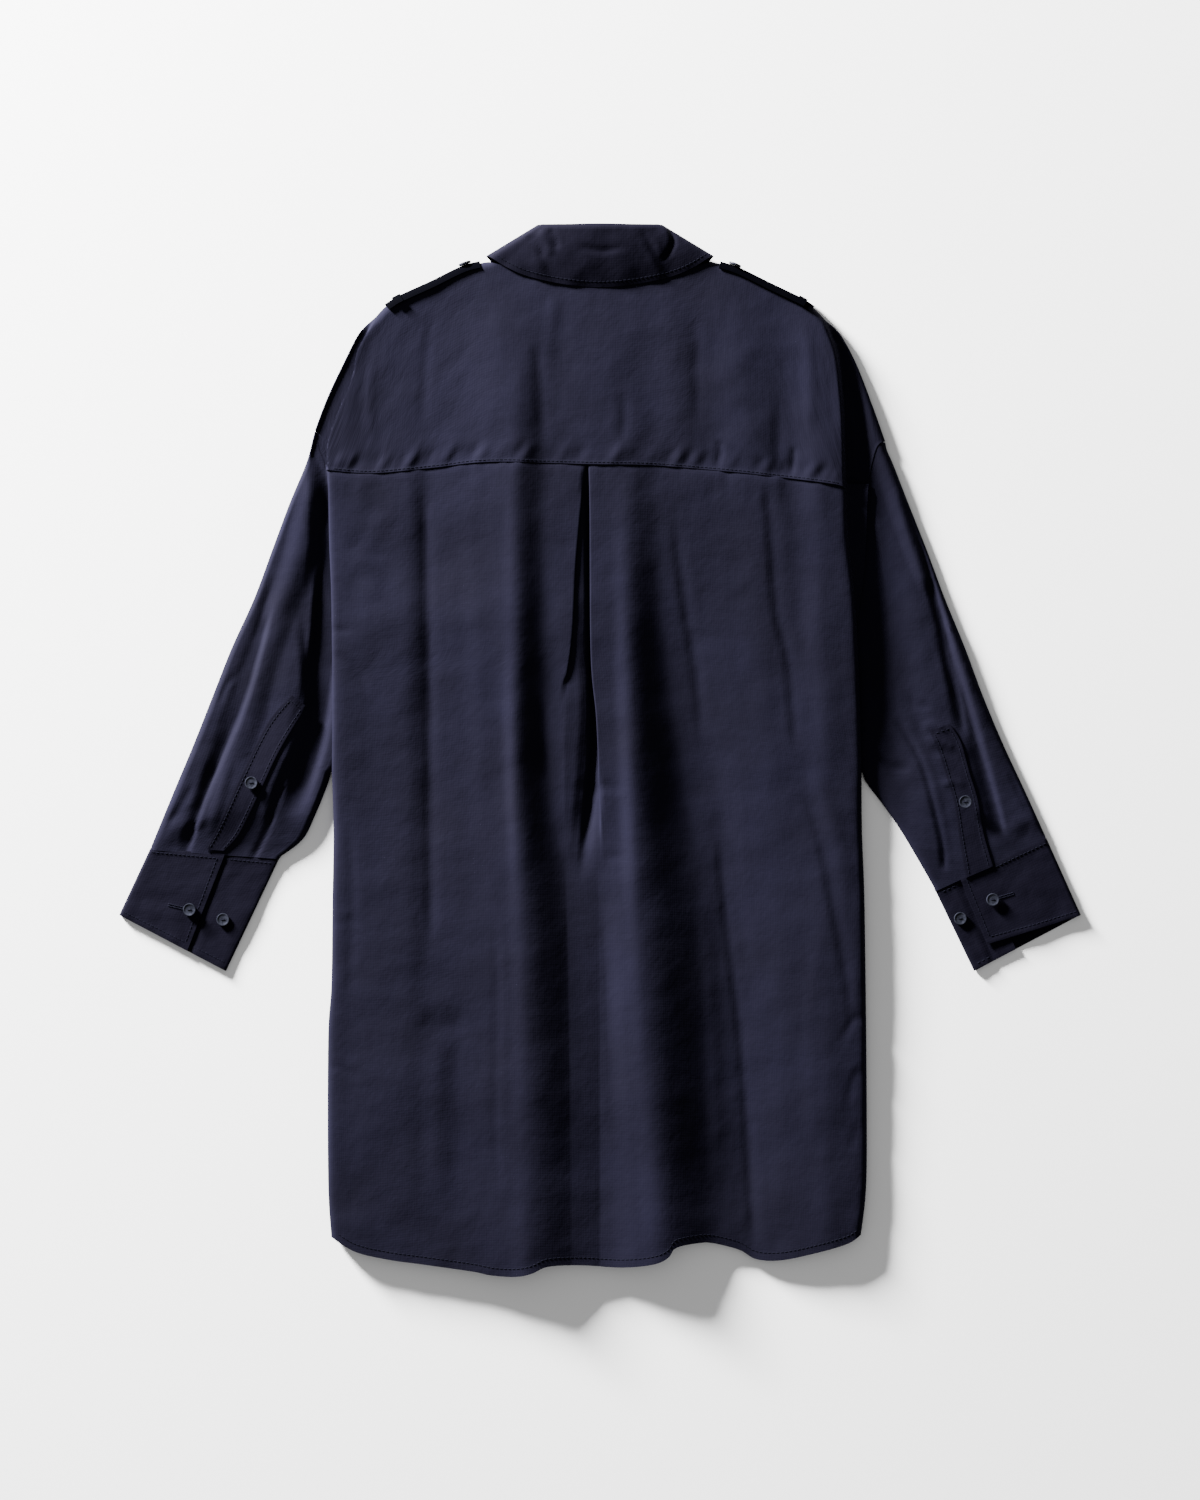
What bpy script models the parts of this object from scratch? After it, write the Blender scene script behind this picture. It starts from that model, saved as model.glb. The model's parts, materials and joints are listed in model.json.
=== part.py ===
"""A long yoked shirt blouse, laid flat on its front, its back and collar up.

Every size is in millimetres until a mesh is made. X runs across the garment, Y from the hem to the
collar, Z up from the surface it lies on. The origin is under the hem's lowest point, in the middle,
and the finished pieces are moved so that it is under the middle of the whole garment.
Left and right are the wearer's, which are also the left and right of a viewer who looks at the back.
"""

import functools
import math
from typing import NamedTuple

import bmesh
import bpy
import numpy as np
from mathutils import Vector
from mathutils.bvhtree import BVHTree


class Fold(NamedTuple):
    """A soft ridge in a panel, or a trough where its height is below 0."""

    height: float
    left: float                 # reach to the left of the crest
    right: float                # reach to the right of the crest
    fade_top: float             # length over which it rises from its top end
    fade_bottom: float          # length over which it sinks to its bottom end
    course: tuple               # x, y of the crest, from top to bottom


class Station(NamedTuple):
    """A section of a strip that goes round the neck: a point on its fold and one on its edge."""

    fold: tuple
    edge: tuple
    rise: float = 0.0           # how far the strip bulges between them


class Cuff(NamedTuple):
    """A cuff's corners in plan and its overlap."""

    outer: tuple
    inner: tuple
    low_outer: tuple
    low_inner: tuple
    lap_at_seam: float          # where the overlap ends, as a share of the way from the outer edge
    lap_at_hem: float
    draw_back: float            # how far the overlap's corner stays short of the hem, as a share


MM = 0.001                      # metres in a millimetre
MIDDLE_Y = 472.6                # half the garment's length, from the hem

# Cloth
WALL = 1.0                      # wall of the body and the sleeves
CUFF_WALL = 1.2                 # the cuffs are interlined
SEAM_GAP = 0.3                  # between two pieces at a seam
FLOOR_LAYER = WALL / 2          # middle of a layer that lies on the surface
PLY = 1.9                       # from layer to layer where curved pieces lie on each other
EDGE_TURN = 1.1                 # half the width of a sleeve's or cuff's flattened edge

# Levels of the layers, to the middle of the wall
FRONT_LIFT = 1.5                # fronts over the collar leaf and the shoulder tabs
BAND_LEVEL = 3.1                # button band, over the buttons
UNDER_BAND_LEVEL = 4.5          # left front's edge, over the button band
SLEEVE_LEVEL = 3.5              # upper layer of a sleeve where it lies flattest
BACK_MIDDLE = 9.5               # back at the centre line
BACK_SIDE = 7.0                 # back beside its rolled edges
SIDE_SEAM_LEVEL = 2.0           # back's edge, over the front's edge at the side seam
SHOULDER_LEVEL = 3.7            # yoke's edge, over the fronts at the shoulder

# Buttons
BUTTON_RADIUS = 5.7
BUTTON_HEIGHT = 2.2
BUTTON_SIDES = 10
FRONT_BUTTON_TOP = 748
FRONT_BUTTON_SPACING = 118
FRONT_BUTTONS = 5

# Fronts
BAND_HALF = 16.0                # half the width of the button band
FRONT_RAMP = 34.0               # width over which a front climbs to the band
FRONT_SHELF = 10.0              # width it runs level beside the band
FRONT_HEM_RISE = 6.0            # the front hem lies this much higher than the back hem

# Sides of the back and of the yoke
ROLL_REACH = 9.0                # width of the back's rolled side
VALLEY_WALL = 7.0               # width of the wall from the yoke down to the valley
SHOULDER_ROLL = 7.0

# Inverted pleat
PLEAT_DEPTH = 12.0
PLEAT_BEND = 0.75               # radius of a pleat fold, to the middle of the wall
PLEAT_OPENS = 435               # between these two heights the folds open out
PLEAT_OPEN = 378
PLEAT_SHALLOW = 2.0             # depth of the folds where they begin to open
PLEAT_DEEPENS = 80              # length over which they get their full depth
DEEPEST_FOLD = 4.4 * PLEAT_BEND     # drop of a fold's hidden layer below the panel
FIRST_BEND = (0.08, 0.36, 0.64, 0.92)   # columns in a fold's two bends, as shares of their turn
SECOND_BEND = (0.08, 0.5, 0.92)
PLEAT_CLEAR = 8                 # first column of the panel beside a pleat fold

# Outlines in plan: x, y from top to bottom, or from left to right
SHOULDER_LEFT = ((-101, 911), (-122, 906), (-151, 892), (-187, 875), (-202, 861))
SHOULDER_RIGHT = ((101, 911), (122, 905), (151, 891), (187, 873), (203, 858))
STRIP_LEFT = ((-202, 861), (-216, 848), (-230, 821), (-245, 789), (-256, 760))
STRIP_RIGHT = ((203, 858), (216, 846), (230, 820), (245, 781), (256, 750))
ARMHOLE_LEFT = (
    (-256, 760), (-251, 740), (-246, 724), (-236, 643), (-227, 540), (-231, 484), (-240.5, 452))
ARMHOLE_RIGHT = (
    (256, 750), (250, 728), (244, 707), (237, 630), (224, 540), (225, 484), (234.5, 452))
SIDE_LEFT = (
    (-240.5, 452), (-239, 400), (-240, 338), (-241, 262), (-244, 212), (-244, 86), (-241, 35))
SIDE_RIGHT = ((234.5, 452), (235, 400), (237, 346), (238, 284), (239, 194), (239, 86), (234, 37))
EDGE_LEFT = (
    (-202, 858), (-217, 832), (-222, 808), (-233, 780), (-242, 757), (-245, 740), (-244, 724),
    (-243, 662), (-241, 608), (-240, 518), (-240.5, 452))
EDGE_RIGHT = (
    (203, 855), (213, 828), (218, 790), (220, 750), (221, 707), (223, 662), (229, 606), (233, 518),
    (234.5, 452))
NECK_BACK = ((-101, 911), (-70, 905), (0, 902), (70, 905), (101, 911))
NECK_FRONT = ((-101, 911), (-94, 896), (-72, 850), (-46, 800), (-17, 765))
YOKE_SEAM = (
    (-246, 724), (-204, 721), (-149, 726), (-98, 731), (-11, 729), (47, 728), (108, 723),
    (147, 719), (210, 711), (221, 707), (244, 707))
HEM = (
    (-241, 35), (-220, 22), (-191, 15), (-162, 11), (-133, 7), (-112, 4), (-97, 1), (-76, 0),
    (-61, 3), (-47, 9), (-18, 10), (18, 8), (47, 11), (61, 17), (68, 26), (90, 30), (104, 29),
    (126, 23), (140, 15), (162, 14), (191, 20), (222, 29), (234, 37))
PLEAT_LEFT = (
    (-12, 729), (-16, 703), (-22, 639), (-25, 578), (-31, 543), (-30, 430), (-22, 200), (-20, 0))
PLEAT_RIGHT = ((-10, 729), (-9, 688), (-8, 559), (-3, 500), (0, 430), (4, 370), (6, 200), (6, 0))
SLEEVE_OUTER_LEFT = (
    (-256, 760), (-258, 752), (-264, 730), (-279, 694), (-295, 651), (-311, 608), (-331, 564),
    (-348, 521), (-365, 478), (-383, 435), (-404, 384))
SLEEVE_OUTER_RIGHT = (
    (256, 750), (258, 741), (263, 730), (277, 694), (294, 651), (310, 608), (328, 564), (344, 521),
    (362, 478), (382, 435), (401, 393))
SLEEVE_INNER_LEFT = ((-242.4, 452), (-246, 440), (-257, 413), (-268, 392), (-289, 376))
SLEEVE_INNER_RIGHT = ((236.4, 452), (240, 443), (256, 422), (273, 397), (302, 347))

SPAN_STEPS = 8                  # points that a smoothed line has for each measured span
YOKE_SPANS = 2                  # spans of an armhole line that belong to the yoke
YOKE_STATIONS = 3               # rows of a sleeve that meet the yoke

# Where the rows and columns of a panel stand, as shares of its length and width. They are closer
# together where the cloth bends.
YOKE_HALF_COLUMNS = (
    0, 0.005, 0.011, 0.018, 0.027, 0.04, 0.06, 0.085, 0.115, 0.15, 0.18, 0.22, 0.27, 0.32, 0.36,
    0.4, 0.45)
YOKE_ROWS = (0, 0.01, 0.03, 0.06, 0.1, 0.15, 0.22, 0.29, 0.4, 0.52, 0.65, 0.82, 1.0)
BACK_ROWS = (
    0, 0.025, 0.07, 0.12, 0.16, 0.2, 0.26, 0.32, 0.374, 0.407, 0.427, 0.447, 0.467, 0.485, 0.54,
    0.61, 0.69, 0.77, 0.85, 0.93, 1.0)
FRONT_COLUMNS = (0, 0.05, 0.12, 0.2, 0.3, 0.4, 0.5, 0.6, 0.7, 0.8, 0.87, 0.94, 1.0)
LEAF_ROWS = (0, 0.02, 0.08, 0.2, 0.4, 0.6, 0.8, 1.0)
STAND_ROWS = (0, 0.33, 0.67, 1)
CUFF_ROWS = (0, 0.3, 0.65, 1.0)
ARMHOLE_ROWS_ON_YOKE = (0.29, 0.65, 1.0)    # shares of the yoke's part of the armhole
ARMHOLE_ROWS_BELOW = (0.22, 0.31, 0.42, 0.55, 0.67, 0.8, 0.9, 1.0)

# Hidden edge of the back, inside its rolled side: y, height of its middle
LOW_EDGE = (
    (724, 8.2), (705, 6.8), (680, 5.6), (600, 5.4), (480, 5.4), (455, 5.0), (436, SIDE_SEAM_LEVEL),
    (0, SIDE_SEAM_LEVEL))

# The back's two main folds, which run from the shoulder blades down to the hem
RIDGE_LEFT = Fold(8.5, 66, 26, 70, 1, (
    (-78, 730), (-72, 608), (-68, 428), (-65, 302), (-60, 158), (-58, -20)))
RIDGE_RIGHT = Fold(14.0, 62, 34, 260, 1, (
    (34, 700), (43, 590), (52, 520), (64, 440), (69, 358), (66, 299), (60, 220), (57, 100),
    (54, -20)))

BACK_FOLDS = (
    RIDGE_LEFT,
    RIDGE_RIGHT,
    # trough between the left ridge and the pleat, and the one right of the right ridge
    Fold(-2.6, 20, 20, 120, 1, ((-42, 380), (-40, 300), (-30, 100), (-28, -20))),
    Fold(-3.6, 26, 34, 200, 1, (
        (62, 659), (84, 538), (104, 440), (112, 340), (116, 240), (116, 100), (112, -20))),
    # swells of the two sides, and a crease in each
    Fold(4.5, 50, 52, 200, 1, ((150, 700), (165, 500), (172, 300), (166, 120), (162, -20))),
    Fold(2.6, 40, 44, 120, 60, ((-196, 700), (-198, 500), (-204, 300), (-206, 120))),
    Fold(-2.2, 12, 16, 30, 120, ((-158, 715), (-154, 520), (-153, 374), (-153, 300))),
    Fold(-2.2, 11, 14, 30, 90, (
        (148, 715), (158, 598), (170, 545), (178, 480), (198, 389), (212, 320))),
    # bands of the yoke, from left to right
    Fold(-2.4, 18, 18, 30, 40, ((-180, 850), (-186, 790), (-190, 710))),
    Fold(3.6, 26, 30, 60, 40, ((-76, 880), (-84, 840), (-97, 800), (-118, 740), (-124, 700))),
    Fold(2.4, 22, 22, 50, 40, ((-18, 880), (-20, 800), (-21, 738))),
    Fold(3.0, 24, 22, 50, 40, ((60, 880), (62, 800), (58, 700))),
    Fold(-2.4, 16, 22, 40, 40, ((84, 870), (86, 800), (90, 720))),
    Fold(2.6, 26, 30, 40, 40, ((120, 860), (116, 800), (114, 700))),
    Fold(-2.4, 18, 18, 40, 40, ((160, 850), (160, 790), (164, 710))),
)

# Folds of each sleeve: ridge beside the outer edge, swell of the middle, tuck at the cuff
SLEEVE_FOLDS = {
    "left": (
        Fold(6.5, 16, 19, 8, 150, (
            (-214, 845), (-240, 790), (-250, 755), (-263, 708), (-279, 649), (-296, 594), (-313, 538),
            (-325, 493), (-350, 400), (-362, 360))),
        Fold(3.5, 26, 30, 60, 60, ((-262, 600), (-286, 520), (-306, 450), (-330, 370))),
        Fold(2.2, 20, 6, 60, 1, ((-285, 500), (-300, 440), (-318, 390), (-326, 340))),
    ),
    "right": (
        Fold(5.5, 16, 15, 8, 200, (
            (214, 843), (240, 788), (252, 745), (266, 706), (282, 660), (297, 622), (314, 575), (330, 530),
            (352, 460), (372, 400), (376, 370))),
        Fold(4.5, 30, 26, 60, 40, ((262, 690), (276, 610), (292, 540), (316, 450), (340, 360))),
        Fold(2.4, 20, 8, 60, 1, ((262, 530), (282, 480), (300, 420), (308, 340))),
    ),
}

# Collar leaf from its left point to the centre of the back: the front part lies on the surface,
# then it turns over the shoulder and lies on the yoke
LEAF = (
    Station((-15, 793, 0.5), (-64, 750, 0.5)),
    Station((-28, 838, 0.5), (-90, 800, 0.5)),
    Station((-41, 885, 0.5), (-97, 858, 0.5)),
    Station((-50, 925, 0.5), (-95, 902, 0.5)),
    Station((-55, 938, 1.3), (-99, 912.6, 1.3)),
    Station((-57, 943, 6.0), (-102, 916, 6.0), 0.4),
    Station((-53, 944, 11.0), (-98, 914.5, 11.2), 1.0),
    Station((-47, 944, 12.0), (-86, 907, 12.0), 1.6),
    Station((-39, 944, 12.4), (-70, 899.5, 12.2), 2.2),
    Station((-27, 944, 12.6), (-48, 893.5, 12.2), 2.8),
    Station((-14, 944.3, 12.8), (-25, 889.5, 12.2), 3.4),
    Station((0, 944.4, 12.8), (0, 888, 12.2), 3.6),
)
# Collar stand, the same way: top under the leaf's fold, neckline
STAND = (
    Station((-14, 791, 2.0), (-17.5, 766.5, 2.0)),
    Station((-27, 836, 2.0), (-45.6, 801, 2.0)),
    Station((-39, 883, 2.0), (-71.5, 851, 2.0)),
    Station((-47, 922, 2.0), (-92, 893, 2.0)),
    Station((-51, 934, 2.6), (-97, 908, 2.5)),
    Station((-53, 938.6, 6.0), (-97.5, 912.4, 6.2)),
    Station((-49, 940, 9.2), (-92, 911.4, 9.2)),
    Station((-42, 940.6, 9.8), (-68, 906.4, 9.8)),
    Station((-23, 941, 10.1), (-35, 904, 10.0)),
    Station((0, 941, 10.2), (0, 903, 10.1)),
)

CUFFS = {
    "left": Cuff((-404, 384), (-289, 375.4), (-432, 324), (-337, 274), 0.58, 0.64, 0.0),
    "right": Cuff((401, 393), (302, 346.6), (432, 324), (337, 274), 0.78, 0.81, 0.2),
}
CUFF_UNDER_LEVEL = 2.6
CUFF_TOP_LEVEL = 4.3
CUFF_UNDERLAP = 0.2             # share of the cuff's width that lies under the overlap

# Sleeve plackets in plan: outer edge, inner edge, from the cuff up
SLEEVE_PLACKETS = {
    "left": (((-354, 383), (-341, 409), (-321, 452), (-299, 496), (-277, 522)),
             ((-338, 382), (-324, 398), (-306, 434), (-288, 472), (-264, 512))),
    "right": (((350, 377), (344, 396), (339, 429), (332, 452), (324, 480), (314, 496)),
              ((326, 366), (322, 400), (318, 425), (311, 449), (304, 471), (296, 490))),
}

# Buttons on the sleeves: x, y, piece that carries it
SLEEVE_BUTTONS = {
    "button_cuff_left_1": (-369, 329, "cuff_left"),
    "button_cuff_left_2": (-339, 320, "cuff_left"),
    "button_cuff_right_1": (353, 338, "cuff_right"),
    "button_cuff_right_2": (324, 321, "cuff_right"),
    "button_placket_left": (-313, 443, "sleeve_placket_left"),
    "button_placket_right": (328, 426, "sleeve_placket_right"),
}

# Shoulder tabs, along the shoulder line from its neck end
TAB_FROM, TAB_TO = 7.0, 100.0
LOOP_FROM, LOOP_TO = 84.0, 92.0
TAB_BUTTON_AT = 20.0
TAB_ON_BACK = 7.0               # width of the tab that shows on the back
TAB_ON_FRONT = 30.0             # width of the tab under the front

# Finish: colour, roughness
NAVY_CLOTH = ((0.021, 0.022, 0.045), 0.72)
NAVY_TRIM = ((0.019, 0.020, 0.041), 0.70)
DARK_BUTTON = ((0.030, 0.032, 0.048), 0.30)


def clear_scene():
    """Removes what the file starts with."""
    for old in list(bpy.data.objects):
        bpy.data.objects.remove(old)


def make_material(name, finish):
    """One plain material for one piece."""
    colour, roughness = finish
    material = bpy.data.materials.new(name)
    material.use_nodes = True
    shader = material.node_tree.nodes["Principled BSDF"]
    shader.inputs["Base Color"].default_value = (*colour, 1.0)
    shader.inputs["Roughness"].default_value = roughness
    shader.inputs["Metallic"].default_value = 0.0
    return material


def add_object(name, mesh, collection, finish):
    """Puts a mesh in the blouse's collection, with its own material."""
    mesh.materials.append(make_material(name, finish))
    piece = bpy.data.objects.new(name, mesh)
    collection.objects.link(piece)
    return piece


# ---- lines and heights

@functools.cache
def smooth_line(points, per_span=SPAN_STEPS):
    """A Catmull-Rom curve through measured points."""
    p = np.array([points[0], *points, points[-1]], float)
    t = np.linspace(0, 1, per_span, endpoint=False)[:, None]
    spans = [
        0.5 * (2 * b + (c - a) * t + (2 * a - 5 * b + 4 * c - d) * t**2 + (3 * b - a - 3 * c + d) * t**3)
        for a, b, c, d in zip(p, p[1:], p[2:], p[3:])
    ]
    return np.vstack(spans + [p[-1:]])


@functools.cache
def join_lines(*lines):
    """Several curves end to end, each smoothed by itself so that corners stay."""
    return np.vstack([smooth_line(line) for line in lines])


def length_of(line):
    """Length of a line in plan."""
    return np.hypot(*np.diff(line, axis=0).T).sum()


def along(line, shares):
    """Points at given shares of a line's length."""
    steps = np.r_[0, np.cumsum(np.hypot(*np.diff(line, axis=0).T))]
    at = np.asarray(shares) * steps[-1]
    return np.column_stack([np.interp(at, steps, line[:, 0]), np.interp(at, steps, line[:, 1])])


def x_at(line, y):
    """Where a line that runs from top to bottom stands at a height y."""
    return np.interp(-np.asarray(y, float), -line[:, 1], line[:, 0])


def y_at(line, x):
    """How high a line that runs from left to right is at x."""
    return np.interp(x, line[:, 0], line[:, 1])


def distance_to(line, x, y):
    """Shortest distance in plan from points to a line."""
    point = np.stack(np.broadcast_arrays(x, y), axis=-1)[..., None, :]
    start, step = line[:-1], np.diff(line, axis=0)
    length = np.maximum((step**2).sum(-1), 1e-12)
    share = np.clip(((point - start) * step).sum(-1) / length, 0, 1)
    return np.sqrt((((start + share[..., None] * step) - point) ** 2).sum(-1)).min(-1)


def ease(value):
    """A soft step from 0 to 1."""
    value = np.clip(value, 0, 1)
    return value * value * (3 - 2 * value)


def round_edge(distance, radius):
    """A quarter circle: 0 at an edge, 1 from one radius inward."""
    share = np.clip(distance / radius, 0, 1)
    return np.sqrt(np.maximum(1 - (1 - share) ** 2, 0))


def fold_height(x, y, folds):
    """What all the folds of a panel add at a place."""
    total = np.zeros(np.broadcast(x, y).shape)
    for fold in folds:
        line = smooth_line(fold.course)
        across = x - x_at(line, y)
        share = across / np.where(across < 0, fold.left, fold.right)
        bell = np.maximum(1 - share**2, 0) ** 2
        rise = ease((line[0, 1] + fold.fade_top / 4 - y) / fold.fade_top)
        total += fold.height * bell * rise * ease((y - line[-1, 1]) / fold.fade_bottom)
    return total


def back_height(x, y):
    """Middle of the back's wall, over the yoke and the body."""
    half_width = 245.0
    level = BACK_SIDE + (BACK_MIDDLE - BACK_SIDE) * (1 - (x / half_width) ** 2)
    return level + fold_height(x, y, BACK_FOLDS)


def sleeve_height(x, y, side):
    """Middle of a sleeve's upper layer, and of the yoke's strip beyond the valley."""
    return SLEEVE_LEVEL + fold_height(x, y, SLEEVE_FOLDS[side])


def outlines(side):
    """Shoulder, strip, armhole and side seam of one side of the body."""
    if side == "left":
        return SHOULDER_LEFT, STRIP_LEFT, ARMHOLE_LEFT, SIDE_LEFT
    return SHOULDER_RIGHT, STRIP_RIGHT, ARMHOLE_RIGHT, SIDE_RIGHT


def yoke_armhole(side):
    """The part of the armhole line that belongs to the yoke."""
    return smooth_line(outlines(side)[2])[:YOKE_SPANS * SPAN_STEPS + 1]


# ---- meshes

def grid_mesh(name, points, skip=None):
    """A grid whose corners are moved to rows x columns of points; skip(row, column) leaves out a face."""
    rows, columns = points.shape[:2]
    shape = bmesh.new()
    bmesh.ops.create_grid(shape, x_segments=columns - 1, y_segments=rows - 1, size=1.0)
    by_place = sorted(shape.verts, key=lambda v: (-round(v.co.y, 6), round(v.co.x, 6)))
    order = {vertex: number for number, vertex in enumerate(by_place)}
    if skip:
        first_corners = {face: min(order[v] for v in face.verts) for face in shape.faces}
        gone = [face for face, first in first_corners.items() if skip(*divmod(first, columns))]
        bmesh.ops.delete(shape, geom=gone, context="FACES")
    flat = points.reshape(-1, 3)
    for vertex in shape.verts:
        vertex.co = Vector(flat[order[vertex]]) * MM
    bmesh.ops.remove_doubles(shape, verts=shape.verts, dist=0.02 * MM)
    mesh = bpy.data.meshes.new(name)
    shape.to_mesh(mesh)
    shape.free()
    return mesh


def cloth(name, points, collection, finish=NAVY_CLOTH, wall=WALL, skip=None):
    """A sheet of cloth: a grid of points on the middle of its wall, made solid both ways."""
    mesh = grid_mesh(name, points, skip)
    mesh.shade_smooth()
    piece = add_object(name, mesh, collection, finish)
    solid = piece.modifiers.new("Wall", "SOLIDIFY")
    solid.thickness = wall * MM
    solid.offset = 0.0
    solid.use_even_offset = False
    solid.use_quality_normals = True
    return piece


def patch(top, bottom, left, right, shares_across, shares_down):
    """Plan points of a four-sided panel, blended between its four edges."""
    u = np.asarray(shares_across)[None, :, None]
    v = np.asarray(shares_down)[:, None, None]
    high, low = along(top, shares_across)[None], along(bottom, shares_across)[None]
    near, far = along(left, shares_down)[:, None], along(right, shares_down)[:, None]
    upper = (1 - u) * high[:, :1] + u * high[:, -1:]
    lower = (1 - u) * low[:, :1] + u * low[:, -1:]
    corners = (1 - v) * upper + v * lower
    return (1 - v) * high + v * low + (1 - u) * near + u * far - corners


def with_height(plan, height):
    """Plan points and their heights as one array of points."""
    return np.concatenate([plan, np.broadcast_to(height, plan.shape[:2])[..., None]], axis=-1)


# ---- back yoke

def yoke_height(x, y):
    """The yoke: the back inside the valleys, the sleeves' strips outside them, a rolled shoulder."""
    height = back_height(x, y)
    valley_top, valley_fade = 872, 30
    for side, edge, inward in (("left", EDGE_LEFT, 1), ("right", EDGE_RIGHT, -1)):
        inside = ease((x - x_at(smooth_line(edge), y)) * inward / VALLEY_WALL + 0.5)
        outside = (1 - inside) * ease((valley_top - y) / valley_fade)
        height = height * (1 - outside) + sleeve_height(x, y, side) * outside
    rim = np.minimum(
        distance_to(join_lines(SHOULDER_LEFT, STRIP_LEFT), x, y),
        distance_to(join_lines(SHOULDER_RIGHT, STRIP_RIGHT), x, y),
    )
    return SHOULDER_LEVEL + (height - SHOULDER_LEVEL) * round_edge(rim, SHOULDER_ROLL)


def build_yoke(collection):
    """Shoulder to shoulder, from the neckline to the yoke seam, with a valley before each armhole."""
    top = join_lines(STRIP_LEFT[::-1], SHOULDER_LEFT[::-1], NECK_BACK, SHOULDER_RIGHT, STRIP_RIGHT)
    left, right = yoke_armhole("left"), yoke_armhole("right")
    across = [*YOKE_HALF_COLUMNS, 0.5, *(1 - share for share in reversed(YOKE_HALF_COLUMNS))]
    plan = patch(top, smooth_line(YOKE_SEAM), left, right, across, YOKE_ROWS)
    plan[-1, :, 1] += SEAM_GAP
    return cloth("back_yoke", with_height(plan, yoke_height(plan[..., 0], plan[..., 1])), collection)


# ---- back body. A section is a list of columns, each an (x, height) pair for every y asked for.

def fold_columns(edge, depth, closed, way):
    """Middle of the wall through one fold: over its edge, back under it, and out again.

    closed is 1 where the cloth lies on itself and 0 where it has opened out flat. way is 1 where it
    comes from the left, -1 where it comes from the right. Gives x and the drop below the panel.
    """
    least_turn, opened_length = 0.02, 2.0
    turn = np.maximum(math.pi * closed, least_turn)
    radius = (math.pi * PLEAT_BEND + opened_length * (1 - closed)) / turn
    columns = []
    for share in FIRST_BEND:
        angle = turn * share
        columns.append((radius * np.sin(angle), radius * (1 - np.cos(angle))))
    deepest = 2 * radius * (1 - np.cos(turn)) + depth * np.sin(turn)
    flatter = np.minimum(1, DEEPEST_FOLD / deepest)
    second_x = radius * np.sin(turn) + depth * np.cos(turn)
    second_drop = radius * (1 - np.cos(turn)) + depth * np.sin(turn)
    for share in SECOND_BEND:
        rest = turn * (1 - share)
        across = second_x + radius * (np.sin(turn) - np.sin(rest))
        columns.append((across, second_drop + radius * (np.cos(rest) - np.cos(turn))))
    return [(edge + way * (across - PLEAT_BEND), drop * flatter) for across, drop in columns]


def pleat_columns(y, left_x, right_x):
    """The pleat across the back: both folds and the strip that shows between them."""
    closed = np.clip((y - PLEAT_OPEN) / (PLEAT_OPENS - PLEAT_OPEN), 0, 1)
    depth = PLEAT_SHALLOW + (PLEAT_DEPTH - PLEAT_SHALLOW) * ease((y - PLEAT_OPENS) / PLEAT_DEEPENS)
    folds = []
    for edge, way in ((left_x, 1), (right_x, -1)):
        level = back_height(edge, y)
        fold = fold_columns(edge, depth, closed, way)
        folds.append([(x, level * closed + back_height(x, y) * (1 - closed) - drop) for x, drop in fold])
    left, right = folds[0], folds[1][::-1]
    middle = tuple((a + b) / 2 for a, b in zip(left[-1], right[0]))
    return left + [middle] + right


def roll_columns(edge_x, end_x, top_z, low_z, way):
    """Side of the back, from the hidden seam out to its rolled edge. way is 1 on the left."""
    middle_z = (low_z + top_z) / 2
    wide_seam = 5.0             # from this width on, the hidden part lies flatter
    upright = np.clip(1 - np.abs(edge_x - end_x) / wide_seam, 0, 1)
    return [
        (end_x, low_z),
        (end_x + (edge_x - end_x) * 0.55, low_z + (middle_z - low_z) * (0.12 + 0.28 * upright)),
        (edge_x, low_z + (middle_z - low_z) * 0.75),
        (edge_x + way * 0.6, middle_z + (top_z - middle_z) * 0.45),
        (edge_x + way * 3.2, middle_z + (top_z - middle_z) * 0.86),
    ]


def between(start, end, count):
    """Columns spread evenly from one to another, both included."""
    return [start * (1 - share) + end * share for share in np.linspace(0, 1, count)]


def back_section(y):
    """All columns of the back body at heights y."""
    edge_left = x_at(join_lines(EDGE_LEFT, SIDE_LEFT), y)
    edge_right = x_at(join_lines(EDGE_RIGHT, SIDE_RIGHT), y)
    tuck_starts, tuck_fade, tuck, furthest_under = 470, 40, 3.0, 4.0
    tuck_under = tuck * ease((tuck_starts - y) / tuck_fade)
    seam_left = x_at(join_lines(ARMHOLE_LEFT, SIDE_LEFT), y) + tuck_under
    seam_right = x_at(join_lines(ARMHOLE_RIGHT, SIDE_RIGHT), y) - tuck_under
    seam_left = np.minimum(seam_left, edge_left + furthest_under)
    seam_right = np.maximum(seam_right, edge_right - furthest_under)
    ridge_left = x_at(smooth_line(RIDGE_LEFT.course), y)
    ridge_right = x_at(smooth_line(RIDGE_RIGHT.course), y)
    pleat_left = x_at(smooth_line(PLEAT_LEFT), y)
    pleat_right = x_at(smooth_line(PLEAT_RIGHT), y)
    low = x_at(np.array(LOW_EDGE)[:, ::-1], y)

    left = between(edge_left + ROLL_REACH, ridge_left - 44, 7)
    left += [ridge_left + step for step in (-28, -12, 0, 8, 15)]
    left += [(ridge_left + pleat_left + 7) / 2, pleat_left - PLEAT_CLEAR]
    right = [pleat_right + PLEAT_CLEAR, (pleat_right + PLEAT_CLEAR + ridge_right) / 2]
    right += [ridge_right + step for step in (0, 8, 16, 24, 34)]
    right += between(ridge_right + 46, edge_right - ROLL_REACH, 8)
    left = [(x, back_height(x, y)) for x in left]
    right = [(x, back_height(x, y)) for x in right]
    roll_left = roll_columns(edge_left, seam_left, left[0][1], low, 1)
    roll_right = roll_columns(edge_right, seam_right, right[-1][1], low, -1)
    return np.array(roll_left + left + pleat_columns(y, pleat_left, pleat_right) + right + roll_right[::-1])


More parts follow.
